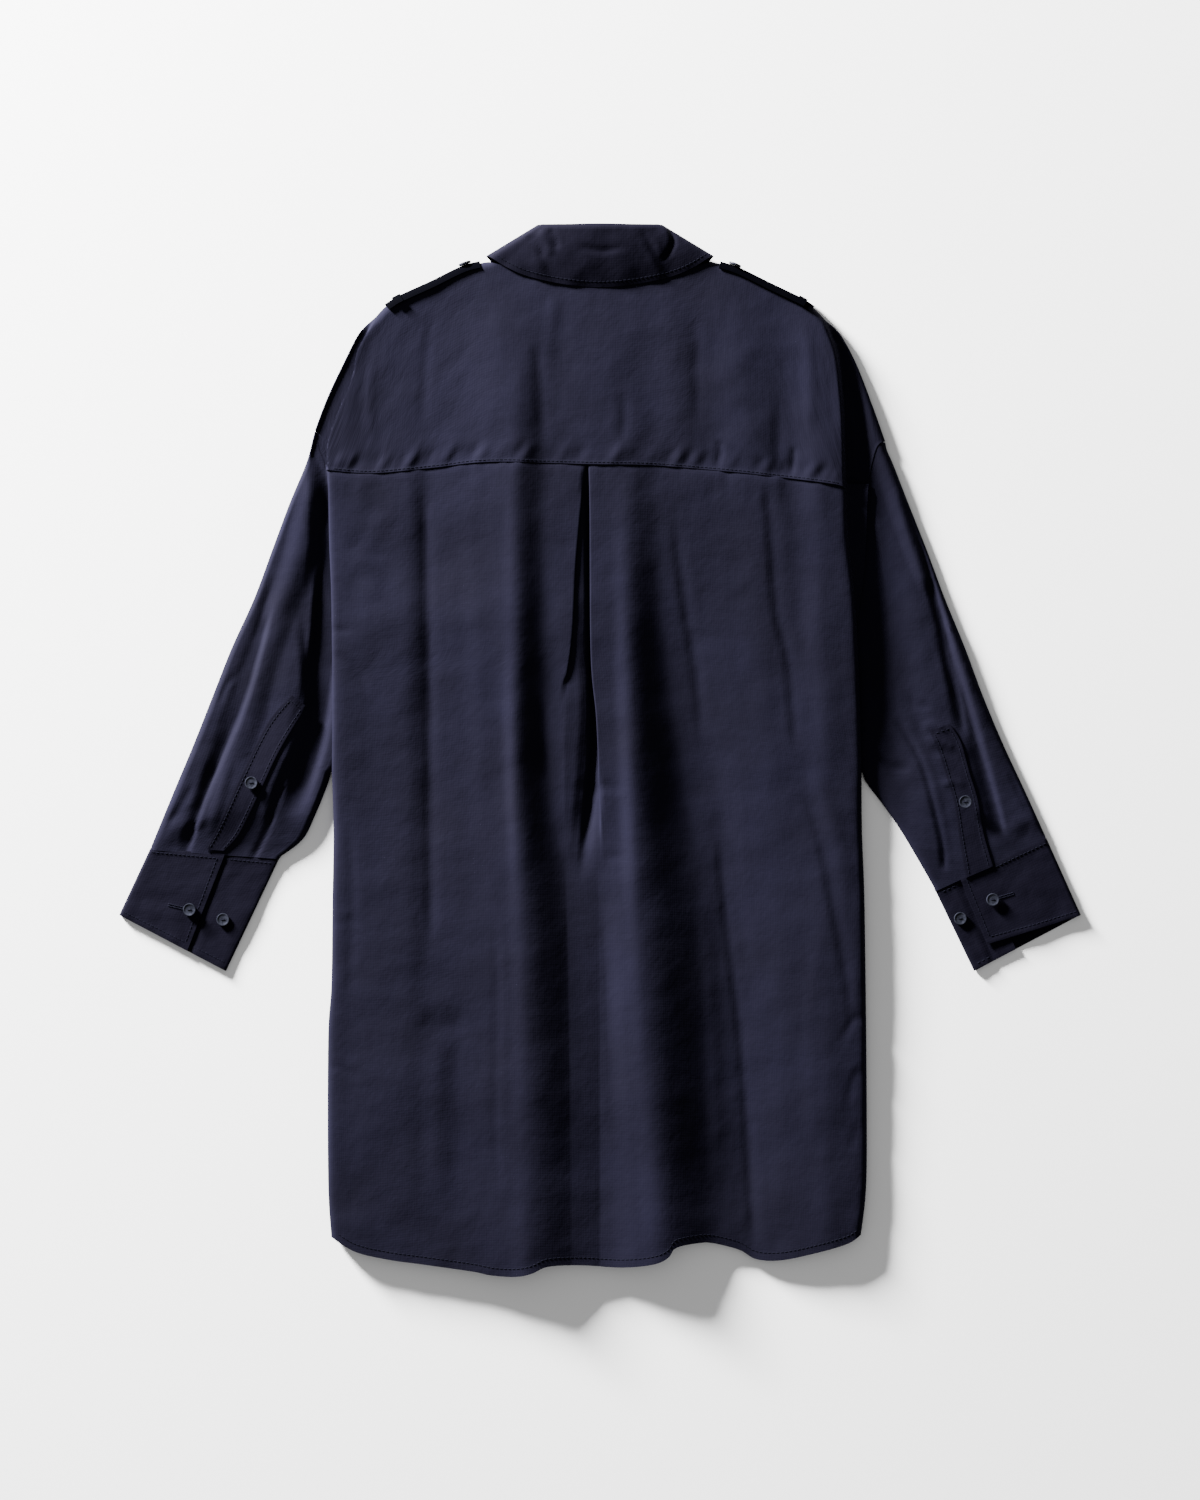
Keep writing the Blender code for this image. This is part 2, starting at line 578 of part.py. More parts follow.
def build_back(collection):
    """From the yoke seam to the hem, with the inverted pleat and rolled sides."""
    seam, hem = smooth_line(YOKE_SEAM), smooth_line(HEM)
    seam_y, hem_y = 720, 15
    rows = []
    for share in BACK_ROWS:
        xs = back_section(np.array([seam_y + (hem_y - seam_y) * share]))[:, 0, 0]
        ys = y_at(seam, xs) * (1 - share) + y_at(hem, xs) * share
        section = back_section(ys)
        own = np.arange(len(ys))
        rows.append(np.column_stack([section[own, 0, own], ys, section[own, 1, own]]))
    points = np.array(rows)
    points[0, :, 1] -= SEAM_GAP
    return cloth("back_body", points, collection)


# ---- fronts and button band

def front_height(x, y, side):
    """Middle of a front's wall: on the surface, but for what lies under it."""
    shoulder, strip = outlines(side)[:2]
    leaf_middle = smooth_line(((-60, 750), (-66, 790), (-74, 840), (-78, 900)))
    reach, ramp = 36, 16
    tab = 1 - ease((distance_to(join_lines(shoulder, strip), x, y) - reach) / ramp)
    leaf = 1 - ease((distance_to(leaf_middle, -np.abs(x), y) - reach) / ramp)
    band_level = BAND_LEVEL if side == "right" else UNDER_BAND_LEVEL
    climb = (band_level - FLOOR_LAYER) * (1 - ease((np.abs(x) - BAND_HALF - FRONT_SHELF) / FRONT_RAMP))
    return FLOOR_LAYER + np.maximum(FRONT_LIFT * np.maximum(tab, leaf), climb)


def armhole_shares(side):
    """Where the rows of a sleeve and of a front meet the armhole seam, as shares of its length."""
    line = smooth_line(outlines(side)[2])
    yoke_share = length_of(yoke_armhole(side)) / length_of(line)
    return np.array([*(share * yoke_share for share in ARMHOLE_ROWS_ON_YOKE), *ARMHOLE_ROWS_BELOW])


def build_front(side, collection):
    """One front, from shoulder and neck to hem; the left one runs on over the button band."""
    shoulder, strip, armhole, flank = outlines(side)
    way = 1 if side == "left" else -1
    neck = tuple((x * way, y) for x, y in NECK_FRONT)
    centre = BAND_HALF + (SEAM_GAP if side == "right" else 0)
    top = [join_lines(strip[::-1], shoulder[::-1], neck)]
    if side == "left":
        top.append([(-14, 763), (centre, 760)])
    else:
        top.append([(centre, 764)])
    flank_line = np.vstack([smooth_line(armhole), smooth_line(flank)])
    hem_xs = np.linspace(flank[-1][0], centre, 40)
    bottom = np.column_stack([hem_xs, y_at(smooth_line(HEM), hem_xs) + FRONT_HEM_RISE])
    top = np.vstack(top)
    opening = np.array([top[-1], bottom[-1]])
    armhole_part = length_of(smooth_line(armhole)) / length_of(flank_line)
    down = [0, *(armhole_shares(side) * armhole_part), *np.linspace(armhole_part, 1, 6)[1:]]
    plan = patch(top, bottom, flank_line, opening, FRONT_COLUMNS, down)
    if side == "right":
        plan = plan[:, ::-1]
    height = front_height(plan[..., 0], plan[..., 1], side)
    return cloth(f"front_{side}", with_height(plan, height), collection)


def build_band(collection):
    """The button band, one straight strip down the right front's edge."""
    ys = np.linspace(763, y_at(smooth_line(HEM), 0) + FRONT_HEM_RISE, 9)
    xs = np.array([-BAND_HALF, 0, BAND_HALF])
    plan = np.stack(np.broadcast_arrays(xs[None, :], ys[:, None]), axis=-1)
    return cloth("front_placket", with_height(plan, BAND_LEVEL), collection, NAVY_TRIM)


# ---- collar

def round_the_neck(stations):
    """Stations from the left end to the centre of the back, carried on to the right end."""
    right = [
        Station((-s.fold[0], *s.fold[1:]), (-s.edge[0], *s.edge[1:]), s.rise) for s in stations[-2::-1]
    ]
    return list(stations) + right


def strip_points(stations, shares):
    """Rows from the fold to the edge, columns from the left end to the right end."""
    rows = []
    for share in shares:
        row = []
        for station in round_the_neck(stations):
            fold, edge = np.array(station.fold, float), np.array(station.edge, float)
            bulge = np.array([0, 0, station.rise * 4 * share * (1 - share)])
            row.append(fold + (edge - fold) * share + bulge)
        rows.append(row)
    return np.array(rows)


def build_leaf(collection):
    """The collar leaf: round the neck from point to point, its fold turned down over the stand."""
    points = strip_points(LEAF, LEAF_ROWS)
    turned = points[0].copy()
    stand_side, stand_top, drop, out = 6, 5, 1.3, 0.4
    over_stand = ease((turned[:, 2] - stand_side) / stand_top)
    turned[:, 2] -= drop * over_stand
    turned[:, 1] += out * over_stand
    return cloth("collar_leaf", np.concatenate([turned[None], points[1:]]), collection)


def build_stand(collection):
    """The collar stand: round the neck inside the leaf."""
    return cloth("collar_stand", strip_points(STAND, STAND_ROWS), collection, NAVY_TRIM)


# ---- sleeves

def build_sleeve(side, collection):
    """A flattened tube, open at the armhole and at the cuff seam.

    Each ring starts at the outer edge, crosses the upper layer to the armhole or to the underarm
    seam, and comes back on the surface. Beside the armhole the ring stays open.
    """
    lines = {
        "left": (SLEEVE_OUTER_LEFT, ARMHOLE_LEFT, SLEEVE_INNER_LEFT),
        "right": (SLEEVE_OUTER_RIGHT, ARMHOLE_RIGHT, SLEEVE_INNER_RIGHT),
    }
    outer, armhole, inner = (smooth_line(line) for line in lines[side])
    under_back, butt, rim_radius = 5.0, 0.9, 7.0
    stations = armhole_shares(side)
    open_rows = len(stations) - 1
    closed = np.linspace(0, 1, 6)
    first, underarm = 0.018, 0.74       # shares of the outer edge beside the armhole's two ends
    beside_armhole = first + (underarm - first) * (stations - stations[0]) / (1 - stations[0])
    outer_shares = np.r_[beside_armhole, underarm + (1 - underarm) * closed[1:]]
    starts = along(outer, outer_shares)
    ends = np.vstack([along(armhole, stations[:-1]), along(inner, closed)])
    ahead = along(armhole, stations[:YOKE_STATIONS] + 0.01) - ends[:YOKE_STATIONS]
    away = np.column_stack([ahead[:, 1], -ahead[:, 0]]) / np.hypot(*ahead.T)[:, None]
    ends[:YOKE_STATIONS] += butt * away * (1 if side == "left" else -1)
    turn = [(0.9, FLOOR_LAYER), (0.0, 1.5), (0.0, 2.5), (EDGE_TURN, SLEEVE_LEVEL)]
    tops = np.linspace(0, 1, 14)[1:-1]
    lows = (0.85, 0.5, 0.15)
    rows = []
    for number, (start, end) in enumerate(zip(starts, ends)):
        is_open = number < open_rows
        width = np.hypot(*(end - start))
        unit = (end - start) / width
        margin = min(EDGE_TURN, width / 6)
        ring = [(*(start + unit * min(step, margin)), z) for step, z in turn]
        for share in tops:
            step = margin + (width - 2 * margin) * share
            x, y = start + unit * step
            rim = step if is_open else min(step, width - step)
            height = sleeve_height(x, y, side) - SLEEVE_LEVEL
            rounding = float(round_edge(rim - margin, rim_radius))
            ring.append((x, y, SLEEVE_LEVEL + float(height) * rounding))
        lap = 0.0 if number < YOKE_STATIONS else under_back
        if is_open:
            level = SLEEVE_LEVEL if lap else ring[-1][2]
            ring += [(*(end + unit * lap), level), (*end, 2.5), (*end, 1.5)]
            ring += [(*(end - unit * SEAM_GAP), FLOOR_LAYER)]
        else:
            ring += [(*(end - unit * min(step, margin)), z) for step, z in reversed(turn)]
        inside = width - 2 * margin
        ring += [(*(start + unit * (margin + inside * share)), FLOOR_LAYER) for share in lows]
        rows.append(ring + ring[:1])
    points = np.array(rows)
    points[-1, :, 1] += SEAM_GAP
    last_top = len(turn) + len(tops)
    gap_columns = {last_top, last_top + 1, last_top + 2}
    if side == "right":
        points = points[:, ::-1]
        gap_columns = {points.shape[1] - 2 - column for column in gap_columns}
    return cloth(
        f"sleeve_{side}", points, collection,
        skip=lambda row, column: row < open_rows and column in gap_columns,
    )


# ---- cuffs

def build_cuff(side, collection):
    """A stiff band round the sleeve's end, its ends lapped and buttoned."""
    cuff = CUFFS[side]
    outer, inner, low_outer, low_inner = (np.array(corner, float) for corner in cuff[:4])
    floor = CUFF_WALL / 2
    turn = 0.012                # share of the width in which an edge turns

    def place(across, down):
        high, low = outer + (inner - outer) * across, low_outer + (low_inner - low_outer) * across
        return high + (low - high) * down

    rows = []
    for down in CUFF_ROWS:
        lap = cuff.lap_at_seam + (cuff.lap_at_hem - cuff.lap_at_seam) * down
        row = []
        for share in (1, 0.8, 0.6, 0.4, 0.2, 0.06):
            drawn = down * (1 - cuff.draw_back * share)
            row.append((*place(lap * share, drawn), CUFF_TOP_LEVEL))
        row += [(*place(turn, down), CUFF_TOP_LEVEL - 0.4), (*place(0, down), CUFF_TOP_LEVEL - 1.6)]
        row += [(*place(0, down), floor + 1.0)]
        row += [(*place(across, down), floor) for across in (turn, 0.25, 0.5, 0.75, 1 - turn)]
        row += [(*place(1, down), floor + 0.55), (*place(1, down), CUFF_UNDER_LEVEL - 0.55)]
        unders = (1 - turn, (1 + lap) / 2, lap, lap - CUFF_UNDERLAP)
        row += [(*place(across, down), CUFF_UNDER_LEVEL) for across in unders]
        rows.append(row)
    points = np.array(rows)
    if side == "left":
        points = points[:, ::-1]
    return cloth(f"cuff_{side}", points, collection, NAVY_TRIM, wall=CUFF_WALL)


# ---- pieces that lie on a panel

def surface_of(piece):
    """A search tree over a finished piece, walls and all."""
    return BVHTree.FromObject(piece, bpy.context.evaluated_depsgraph_get())


def top_of(surface, x, y, reach=0.0):
    """Highest point of a piece at a place in plan, or within a small reach of it."""
    best = -1.0
    for dx, dy in ((0, 0), (reach, 0), (-reach, 0), (0, reach), (0, -reach)):
        hit = surface.ray_cast(Vector((x + dx, y + dy, 200)) * MM, Vector((0, 0, -1)))[0]
        if hit:
            best = max(best, hit.z / MM)
    return best


def build_sleeve_placket(side, sleeve, collection):
    """The bound slit over the cuff: a strip made from the sleeve's own points, moved out."""
    outer, inner = (smooth_line(line) for line in SLEEVE_PLACKETS[side])
    surface = surface_of(sleeve)
    lie = WALL / 2 + 2 * SEAM_GAP
    rows = []
    for share in np.linspace(1, 0, 14):
        a, b = along(outer, [share])[0], along(inner, [share])[0]
        places = [a + (b - a) * step for step in (0, 0.33, 0.67, 1)]
        rows.append([(x, y, top_of(surface, x, y, 2.5) + lie) for x, y in places])
    points = np.array(rows)
    if side == "right":
        points = points[:, ::-1]
    return cloth(f"sleeve_placket_{side}", points, collection, NAVY_TRIM)


def shoulder_frame(side, distance):
    """A place on the shoulder line and the way inward from it, both in plan."""
    line = smooth_line(outlines(side)[0])
    share, step = distance / length_of(line), 0.03
    before, here, after = along(line, np.clip([share - step, share, share + step], 0, 1))
    run = (after - before) / np.hypot(*(after - before))
    inward = np.array([run[1], -run[0]])
    return here, inward if inward[1] < 0 else -inward


def tab_section(side, distance, lift):
    """Section of a shoulder tab across the shoulder: the yoke's own points moved out by lift."""
    here, inward = shoulder_frame(side, distance)
    section = []
    for step in (TAB_ON_BACK, 4.4, 2.2, 0.8):
        x, y = here + inward * step
        level = step / TAB_ON_BACK
        rise = lift * (0.35 + 0.65 * level)
        section.append((step - lift * (1 - level) * 0.9, float(yoke_height(x, y)) + rise))
    section += [(-lift, SHOULDER_LEVEL + 0.6), (-lift, SHOULDER_LEVEL - 1.2)]
    section += [(-lift * 0.75, FLOOR_LAYER + 0.45)]
    section += [(0.6, FLOOR_LAYER), (TAB_ON_FRONT / 2, FLOOR_LAYER), (TAB_ON_FRONT, FLOOR_LAYER)]
    return [(*(here + inward * step), height) for step, height in section]


def shoulder_strip(name, side, first, last, count, lift, keep, collection):
    """A strip folded over the shoulder, with the first points of each section kept."""
    distances = np.linspace(first, last, count)
    points = np.array([tab_section(side, distance, lift)[:keep] for distance in distances])
    if side == "right":
        points = points[:, ::-1]
    return cloth(name, points, collection, NAVY_TRIM)


def build_tab(side, collection):
    """The shoulder tab, its edge on the back and the rest under the front, and its keeper loop."""
    shoulder_strip(f"epaulette_{side}", side, TAB_FROM, TAB_TO, 9, PLY, 10, collection)
    loop_lift = PLY + WALL + SEAM_GAP
    shoulder_strip(f"epaulette_loop_{side}", side, LOOP_FROM, LOOP_TO, 3, loop_lift, 6, collection)


# ---- buttons

def button_mesh(name):
    """A shirt button: a turned disc with a raised rim and a dished face."""
    dish = BUTTON_HEIGHT - 0.6
    profile = (
        (0, 0), (BUTTON_RADIUS, 0), (BUTTON_RADIUS, dish), (BUTTON_RADIUS - 0.6, BUTTON_HEIGHT),
        (BUTTON_RADIUS - 1.6, BUTTON_HEIGHT), (BUTTON_RADIUS - 2.2, dish), (0, dish),
    )
    shape = bmesh.new()
    corners = [shape.verts.new(Vector((radius, 0, height)) * MM) for radius, height in profile]
    edges = [shape.edges.new(pair) for pair in zip(corners, corners[1:])]
    bmesh.ops.spin(
        shape, geom=corners + edges, cent=(0, 0, 0), axis=(0, 0, 1), angle=math.tau,
        steps=BUTTON_SIDES, use_merge=True)
    bmesh.ops.remove_doubles(shape, verts=shape.verts, dist=0.02 * MM)
    bmesh.ops.recalc_face_normals(shape, faces=shape.faces)
    mesh = bpy.data.meshes.new(name)
    shape.to_mesh(mesh)
    shape.free()
    mesh.shade_smooth()
    return mesh


def add_button(name, place, facing, collection):
    """A button whose back rests at a place and whose face looks a given way."""
    piece = add_object(name, button_mesh(name), collection, DARK_BUTTON)
    piece.location = Vector(place) * MM
    piece.rotation_euler = Vector(facing).to_track_quat("Z", "Y").to_euler()
    return piece


def build_buttons(carriers, collection):
    """Buttons of the cuffs, the sleeve plackets, the front and the shoulder tabs."""
    for name, (x, y, carrier) in SLEEVE_BUTTONS.items():
        surface = surface_of(carriers[carrier])
        level = max(top_of(surface, x, y, BUTTON_RADIUS * share) for share in (0.5, 0.98))
        add_button(name, (x, y, level + SEAM_GAP), (0, 0, 1), collection)
    for number in range(FRONT_BUTTONS):
        place = (0, FRONT_BUTTON_TOP - FRONT_BUTTON_SPACING * number, BAND_LEVEL - WALL / 2 - SEAM_GAP)
        add_button(f"button_front_{number + 1}", place, (0, 0, -1), collection)
    for side in ("left", "right"):
        here, inward = shoulder_frame(side, TAB_BUTTON_AT)
        outside = here - inward * (PLY + WALL / 2 + SEAM_GAP)
        add_button(f"button_epaulette_{side}", (*outside, BUTTON_RADIUS + 0.3), (*-inward, 0), collection)


def main():
    """Builds every piece of the blouse."""
    clear_scene()
    blouse = bpy.data.collections.new("blouse")
    bpy.context.scene.collection.children.link(blouse)
    build_yoke(blouse)
    build_back(blouse)
    build_band(blouse)
    build_leaf(blouse)
    build_stand(blouse)
    carriers = {}
    for side in ("left", "right"):
        build_front(side, blouse)
        sleeve = build_sleeve(side, blouse)
        carriers[f"cuff_{side}"] = build_cuff(side, blouse)
        build_tab(side, blouse)
        bpy.context.view_layer.update()
        carriers[f"sleeve_placket_{side}"] = build_sleeve_placket(side, sleeve, blouse)
    bpy.context.view_layer.update()
    build_buttons(carriers, blouse)
    for piece in blouse.objects:
        piece.location.y -= MIDDLE_Y * MM


main()
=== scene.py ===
"""The looks of a long yoked shirt blouse that lies flat on its front, its back and collar up.

Sizes are in millimetres until a mesh is made. X runs across the garment, Y from the hem to the collar
and Z up from the surface it lies on. Left and right are the wearer's, which are also the left and right
of a viewer who looks at the back. One photograph pixel is 0.9 mm.
"""

from __future__ import annotations

import functools
import json
import logging
import math
from collections.abc import Callable, Iterable, Iterator
from contextlib import contextmanager
from dataclasses import dataclass
from enum import StrEnum

import bpy
import numpy as np
from bpy.types import Material, Mesh, Node, NodeSocket, NodeTree, Object
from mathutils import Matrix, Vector
from mathutils.bvhtree import BVHTree

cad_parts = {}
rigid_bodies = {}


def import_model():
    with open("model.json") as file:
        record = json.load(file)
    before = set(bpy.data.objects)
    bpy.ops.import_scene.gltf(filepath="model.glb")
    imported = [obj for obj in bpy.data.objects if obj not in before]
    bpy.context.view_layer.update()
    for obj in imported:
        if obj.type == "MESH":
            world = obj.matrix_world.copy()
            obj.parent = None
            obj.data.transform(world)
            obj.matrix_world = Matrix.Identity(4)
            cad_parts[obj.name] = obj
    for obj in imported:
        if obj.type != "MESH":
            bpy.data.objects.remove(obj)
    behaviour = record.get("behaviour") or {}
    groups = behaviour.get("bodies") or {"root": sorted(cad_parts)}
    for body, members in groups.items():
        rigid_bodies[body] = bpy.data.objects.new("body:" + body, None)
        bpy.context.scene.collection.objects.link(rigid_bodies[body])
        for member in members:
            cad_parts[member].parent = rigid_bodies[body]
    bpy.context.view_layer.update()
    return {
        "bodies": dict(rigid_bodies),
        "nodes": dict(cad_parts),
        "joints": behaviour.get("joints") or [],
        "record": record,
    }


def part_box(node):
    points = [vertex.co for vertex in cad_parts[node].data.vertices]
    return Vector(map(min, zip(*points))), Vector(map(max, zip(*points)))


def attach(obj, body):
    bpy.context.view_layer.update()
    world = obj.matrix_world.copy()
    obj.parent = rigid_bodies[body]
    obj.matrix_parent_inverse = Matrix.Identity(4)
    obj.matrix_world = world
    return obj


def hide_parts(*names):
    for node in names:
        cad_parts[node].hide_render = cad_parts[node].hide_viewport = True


log = logging.getLogger("blouse")

Array = np.ndarray
Line = tuple[tuple[float, float], ...]
Point3 = tuple[float, float, float]
Waves = tuple[tuple[float, float, int], ...]     # height, size and seed of each slow wave


class Side(StrEnum):
    """The wearer's sides."""

    LEFT = "left"
    RIGHT = "right"

    @property
    def inward(self) -> int:
        """The way from the side seam to the middle: 1 along X on the left, -1 on the right."""
        return 1 if self is Side.LEFT else -1


MM = 0.001
MIDDLE_Y = 472.6                 # half the garment's length: the frame's origin is in the middle
PHOTO_MIDDLE_Y = 472.5           # the photograph's centre
PHOTO_HEIGHT = 1.35              # what the photograph covers from top to bottom, in metres
SPAN_STEPS = 8                   # steps between two points of a smoothed outline

# Walls, drawn thicker than poplin's 0.25 mm
PANEL_WALL = 0.8
FRONT_WALL = 0.95
BAND_WALL = 0.9
TRIM_WALL = 0.85                 # doubled and interlined pieces
STAND_WALL = 0.75
CUFF_WALL = 0.9
PLACKET_WALL = 0.7
TAB_WALL = 1.1
SEAM_LAP = 5.0                   # how far a panel runs on under the one it is sewn to

# Levels of the layers, to the middle of the cloth, as in the solids
FLOOR_LAYER = 0.5                # a layer that lies on the surface
PLY = 1.9                        # from layer to layer where curved pieces lie on each other
FRONT_LIFT = 1.5                 # fronts over the collar leaf and the shoulder tabs
BAND_LEVEL = 3.1                 # button band, over the buttons
UNDER_BAND_LEVEL = 4.5           # left front's edge, over the button band
SLEEVE_LEVEL = 3.5               # sleeve's upper layer where it lies flattest
SIDE_SEAM_LEVEL = 2.0            # back's edge, over the front's edge at the side seam
SHOULDER_LEVEL = 3.7             # yoke's edge, over the fronts at the shoulder
CUFF_FLOOR = 0.6                 # cuff's layer on the surface
CUFF_UNDER_LEVEL = 2.6           # cuff's end underneath
CUFF_TOP_LEVEL = 3.6             # cuff's end on top

# Edges
BAND_HALF = 16.0                 # half the width of the button band
FRONT_SHELF = 10.0               # width a front runs level beside the band
FRONT_RAMP = 34.0                # width over which it climbs there
FRONT_HEM_RISE = 6.0             # the front hem lies this much higher than the back hem
ROLL_REACH = 9.0                 # width of the back's rolled side
ROLL_OUT = {Side.LEFT: 1.8, Side.RIGHT: 0.0}        # how far that side stands out over the valley
VALLEY_WALL = {Side.LEFT: 2.6, Side.RIGHT: 6.0}     # width of its wall down to the valley
SHOULDER_ROLL = 7.0
EDGE_TURN = 1.1                  # half the width of a sleeve's flattened edge
RIM_RADIUS = {Side.LEFT: 3.0, Side.RIGHT: 7.0}      # the side toward the light lies pressed, the other soft
SLEEVE_SWELL = {Side.LEFT: 2.8, Side.RIGHT: 0.8}    # the upper layer's lift over its flattened edges

# Inverted pleat
PLEAT_DEPTH = 10.0
PLEAT_SHALLOW = 2.0              # depth of the folds where they begin to open
PLEAT_OPENS = 435                # height at which they begin to
PLEAT_DEEPENS = 80               # length over which they get their full depth
PLEAT_BEND = 0.45                # radius of a fold, to the middle of the wall
DEEPEST_FOLD = 4.4 * PLEAT_BEND  # drop of a fold's hidden layer below the panel
BESIDE_PLEAT = 1.4               # from a fold's edge to the panel's first column
BETWEEN_COLUMNS = 16             # columns of the strip between the folds
FIRST_BEND = (0.05, 0.2, 0.35, 0.5, 0.65, 0.8, 0.95)    # columns in a fold's two bends, as shares
SECOND_BEND = (0.05, 0.28, 0.5, 0.72, 0.95)
LEFT_FOLD_OPENS = (570, 512)     # heights between which each fold of the pleat opens out flat
RIGHT_FOLD_OPENS = (450, 372)

# Buttons, as in the solids
BUTTON_RADIUS = 5.7
BUTTON_HEIGHT = 2.2

# Slow unevenness of each panel
BODY_WAVES: Waves = ((0.5, 46, 3), (0.22, 17, 4))
YOKE_WAVES: Waves = ((0.4, 40, 5), (0.2, 15, 6))
SLEEVE_WAVES: Waves = ((0.35, 34, 21), (0.2, 13, 22))
CUFF_WAVES: Waves = ((0.35, 24, 31), (0.25, 11, 32))
COLLAR_WAVES: Waves = ((0.55, 15, 12),)


# ---- lines and heights


@functools.cache
def smooth_line(points: Line, per_span: int = SPAN_STEPS) -> Array:
    """A Catmull-Rom curve through measured points.

    Args:
        points: x, y of each point.
        per_span: steps between two of them.

    Returns:
        The curve's points, one a row.
    """
    p = np.array([points[0], *points, points[-1]], float)
    t = np.linspace(0, 1, per_span, endpoint=False)[:, None]
    spans = [
        0.5 * (2 * b + (c - a) * t + (2 * a - 5 * b + 4 * c - d) * t**2 + (3 * b - a - 3 * c + d) * t**3)
        for a, b, c, d in zip(p, p[1:], p[2:], p[3:])
    ]
    return np.vstack(spans + [p[-1:]])


@functools.cache
def join_lines(*lines: Line) -> Array:
    """Several curves end to end, each smoothed by itself so that corners stay."""
    return np.vstack([smooth_line(line) for line in lines])


def length_of(line: Array) -> float:
    """Length of a line in plan."""
    return float(np.hypot(*np.diff(line, axis=0).T).sum())


def along(line: Array, shares: Array | Iterable[float]) -> Array:
    """Points at given shares of a line's length.

    Args:
        line: points of the line.
        shares: from 0 to 1.

    Returns:
        A point for each share.
    """
    steps = np.r_[0, np.cumsum(np.sqrt((np.diff(line, axis=0) ** 2).sum(-1)))]
    at = np.asarray(shares) * steps[-1]
    return np.column_stack([np.interp(at, steps, line[:, axis]) for axis in range(line.shape[1])])


def x_at(line: Array, y: Array | float) -> Array:
    """Where a line that runs from top to bottom stands at a height y."""
    return np.interp(-np.asarray(y, float), -line[:, 1], line[:, 0])


def y_at(line: Array, x: Array | float) -> Array:
    """How high a line that runs from left to right is at x."""
    return np.interp(x, line[:, 0], line[:, 1])


def ease(value: Array | float) -> Array:
    """A soft step from 0 to 1."""
    value = np.clip(value, 0, 1)
    return value * value * (3 - 2 * value)


def round_edge(distance: Array | float, radius: float) -> Array:
    """A quarter circle: 0 at an edge, 1 from one radius inward."""
    share = np.clip(distance / radius, 0, 1)
    return np.sqrt(np.maximum(1 - (1 - share) ** 2, 0))


def nearest(line: Array, x: Array, y: Array) -> tuple[Array, Array, Array]:
    """The nearest place on a line for each point.

    Args:
        line: points of the line.
        x: the points' x.
        y: the points' y.

    Returns:
        Distance, share of the way along, and side: 1 left of the way it runs, -1 right of it.
    """
    point = np.stack([x, y], axis=-1)[..., None, :]
    start, step = line[:-1], np.diff(line, axis=0)
    length = np.maximum((step**2).sum(-1), 1e-12)
    share = np.clip(((point - start) * step).sum(-1) / length, 0, 1)
    gap = point - (start + share[..., None] * step)
    square = (gap**2).sum(-1)
    best = square.argmin(-1)[..., None]
    chosen = np.take_along_axis(gap, best[..., None], axis=-2)[..., 0, :]
    ahead = step[best[..., 0]]
    side = np.sign(ahead[..., 0] * chosen[..., 1] - ahead[..., 1] * chosen[..., 0])
    run = (best[..., 0] + np.take_along_axis(share, best, axis=-1)[..., 0]) / len(start)
    return np.sqrt(np.take_along_axis(square, best, axis=-1)[..., 0]), run, side


def ripple(x: Array, y: Array, size: float, seed: int) -> Array:
    """Slow random waves, the same on each run.

    Args:
        x: places across.
        y: places along.
        size: width of a wave.
        seed: which waves.

    Returns:
        Heights from about -1 to 1.
    """
    cells, start = 64, (31.7, 17.3)
    lattice = np.random.default_rng(seed).uniform(-1, 1, (cells, cells))
    u, v = np.asarray(x) / size + start[0], np.asarray(y) / size + start[1]
    i, j = np.floor(u).astype(int), np.floor(v).astype(int)
    s, t = ease(u - i), ease(v - j)

    def corner(di: int, dj: int) -> Array:
        """The lattice's value at one corner of each cell."""
        return lattice[(i + di) % cells, (j + dj) % cells]

    low = corner(0, 0) * (1 - s) + corner(1, 0) * s
    high = corner(0, 1) * (1 - s) + corner(1, 1) * s
    return low * (1 - t) + high * t


def uneven(waves: Waves, x: Array, y: Array) -> Array:
    """Several slow waves together."""
    return sum(height * ripple(x, y, size, seed) for height, size, seed in waves)


@dataclass(frozen=True)
class Fold:
    """A large soft ridge in a panel, or a trough where its height is below 0, as in the solids."""

    height: float
    left: float
    right: float
    fade_top: float
    fade_bottom: float
    course: Line

    def at(self, x: Array, y: Array) -> Array:
        """What the fold adds at each place."""
        line = smooth_line(self.course)
        across = x - x_at(line, y)
        share = across / np.where(across < 0, self.left, self.right)
        bell = np.maximum(1 - share**2, 0) ** 2
        rise = ease((line[0, 1] + self.fade_top / 4 - y) / self.fade_top)
        return self.height * bell * rise * ease((y - line[-1, 1]) / self.fade_bottom)


@dataclass(frozen=True)
class Crease:
    """A finer fold, listed one by one. It runs any way and dies away at its ends."""

    height: float
    width: float                 # half its width
    course: Line
    sharp: float = 0.4           # 0 is a soft bell, 1 a pressed edge
    lean: float = 0.0            # above 0, the side right of the way it runs is the steeper one
    fade: float = 0.3            # share of its length over which each end dies away

    def at(self, x: Array, y: Array) -> Array:
        """What the crease adds at each place."""
        line = smooth_line(self.course, 5)
        added = np.zeros(np.shape(x))
        reach = self.width * (1 + abs(self.lean))
        low, high = line.min(0) - reach, line.max(0) + reach
        near = (x > low[0]) & (x < high[0]) & (y > low[1]) & (y < high[1])
        if not near.any():
            return added
        distance, run, side = nearest(line, x[near], y[near])
        share = np.clip(1 - distance / (self.width * (1 + self.lean * side)), 0, 1)
        profile = ease(share) * (1 - self.sharp) + share**1.4 * self.sharp
        ends = ease(run / self.fade) * ease((1 - run) / self.fade)
        added[near] = self.height * profile * ends
        return added


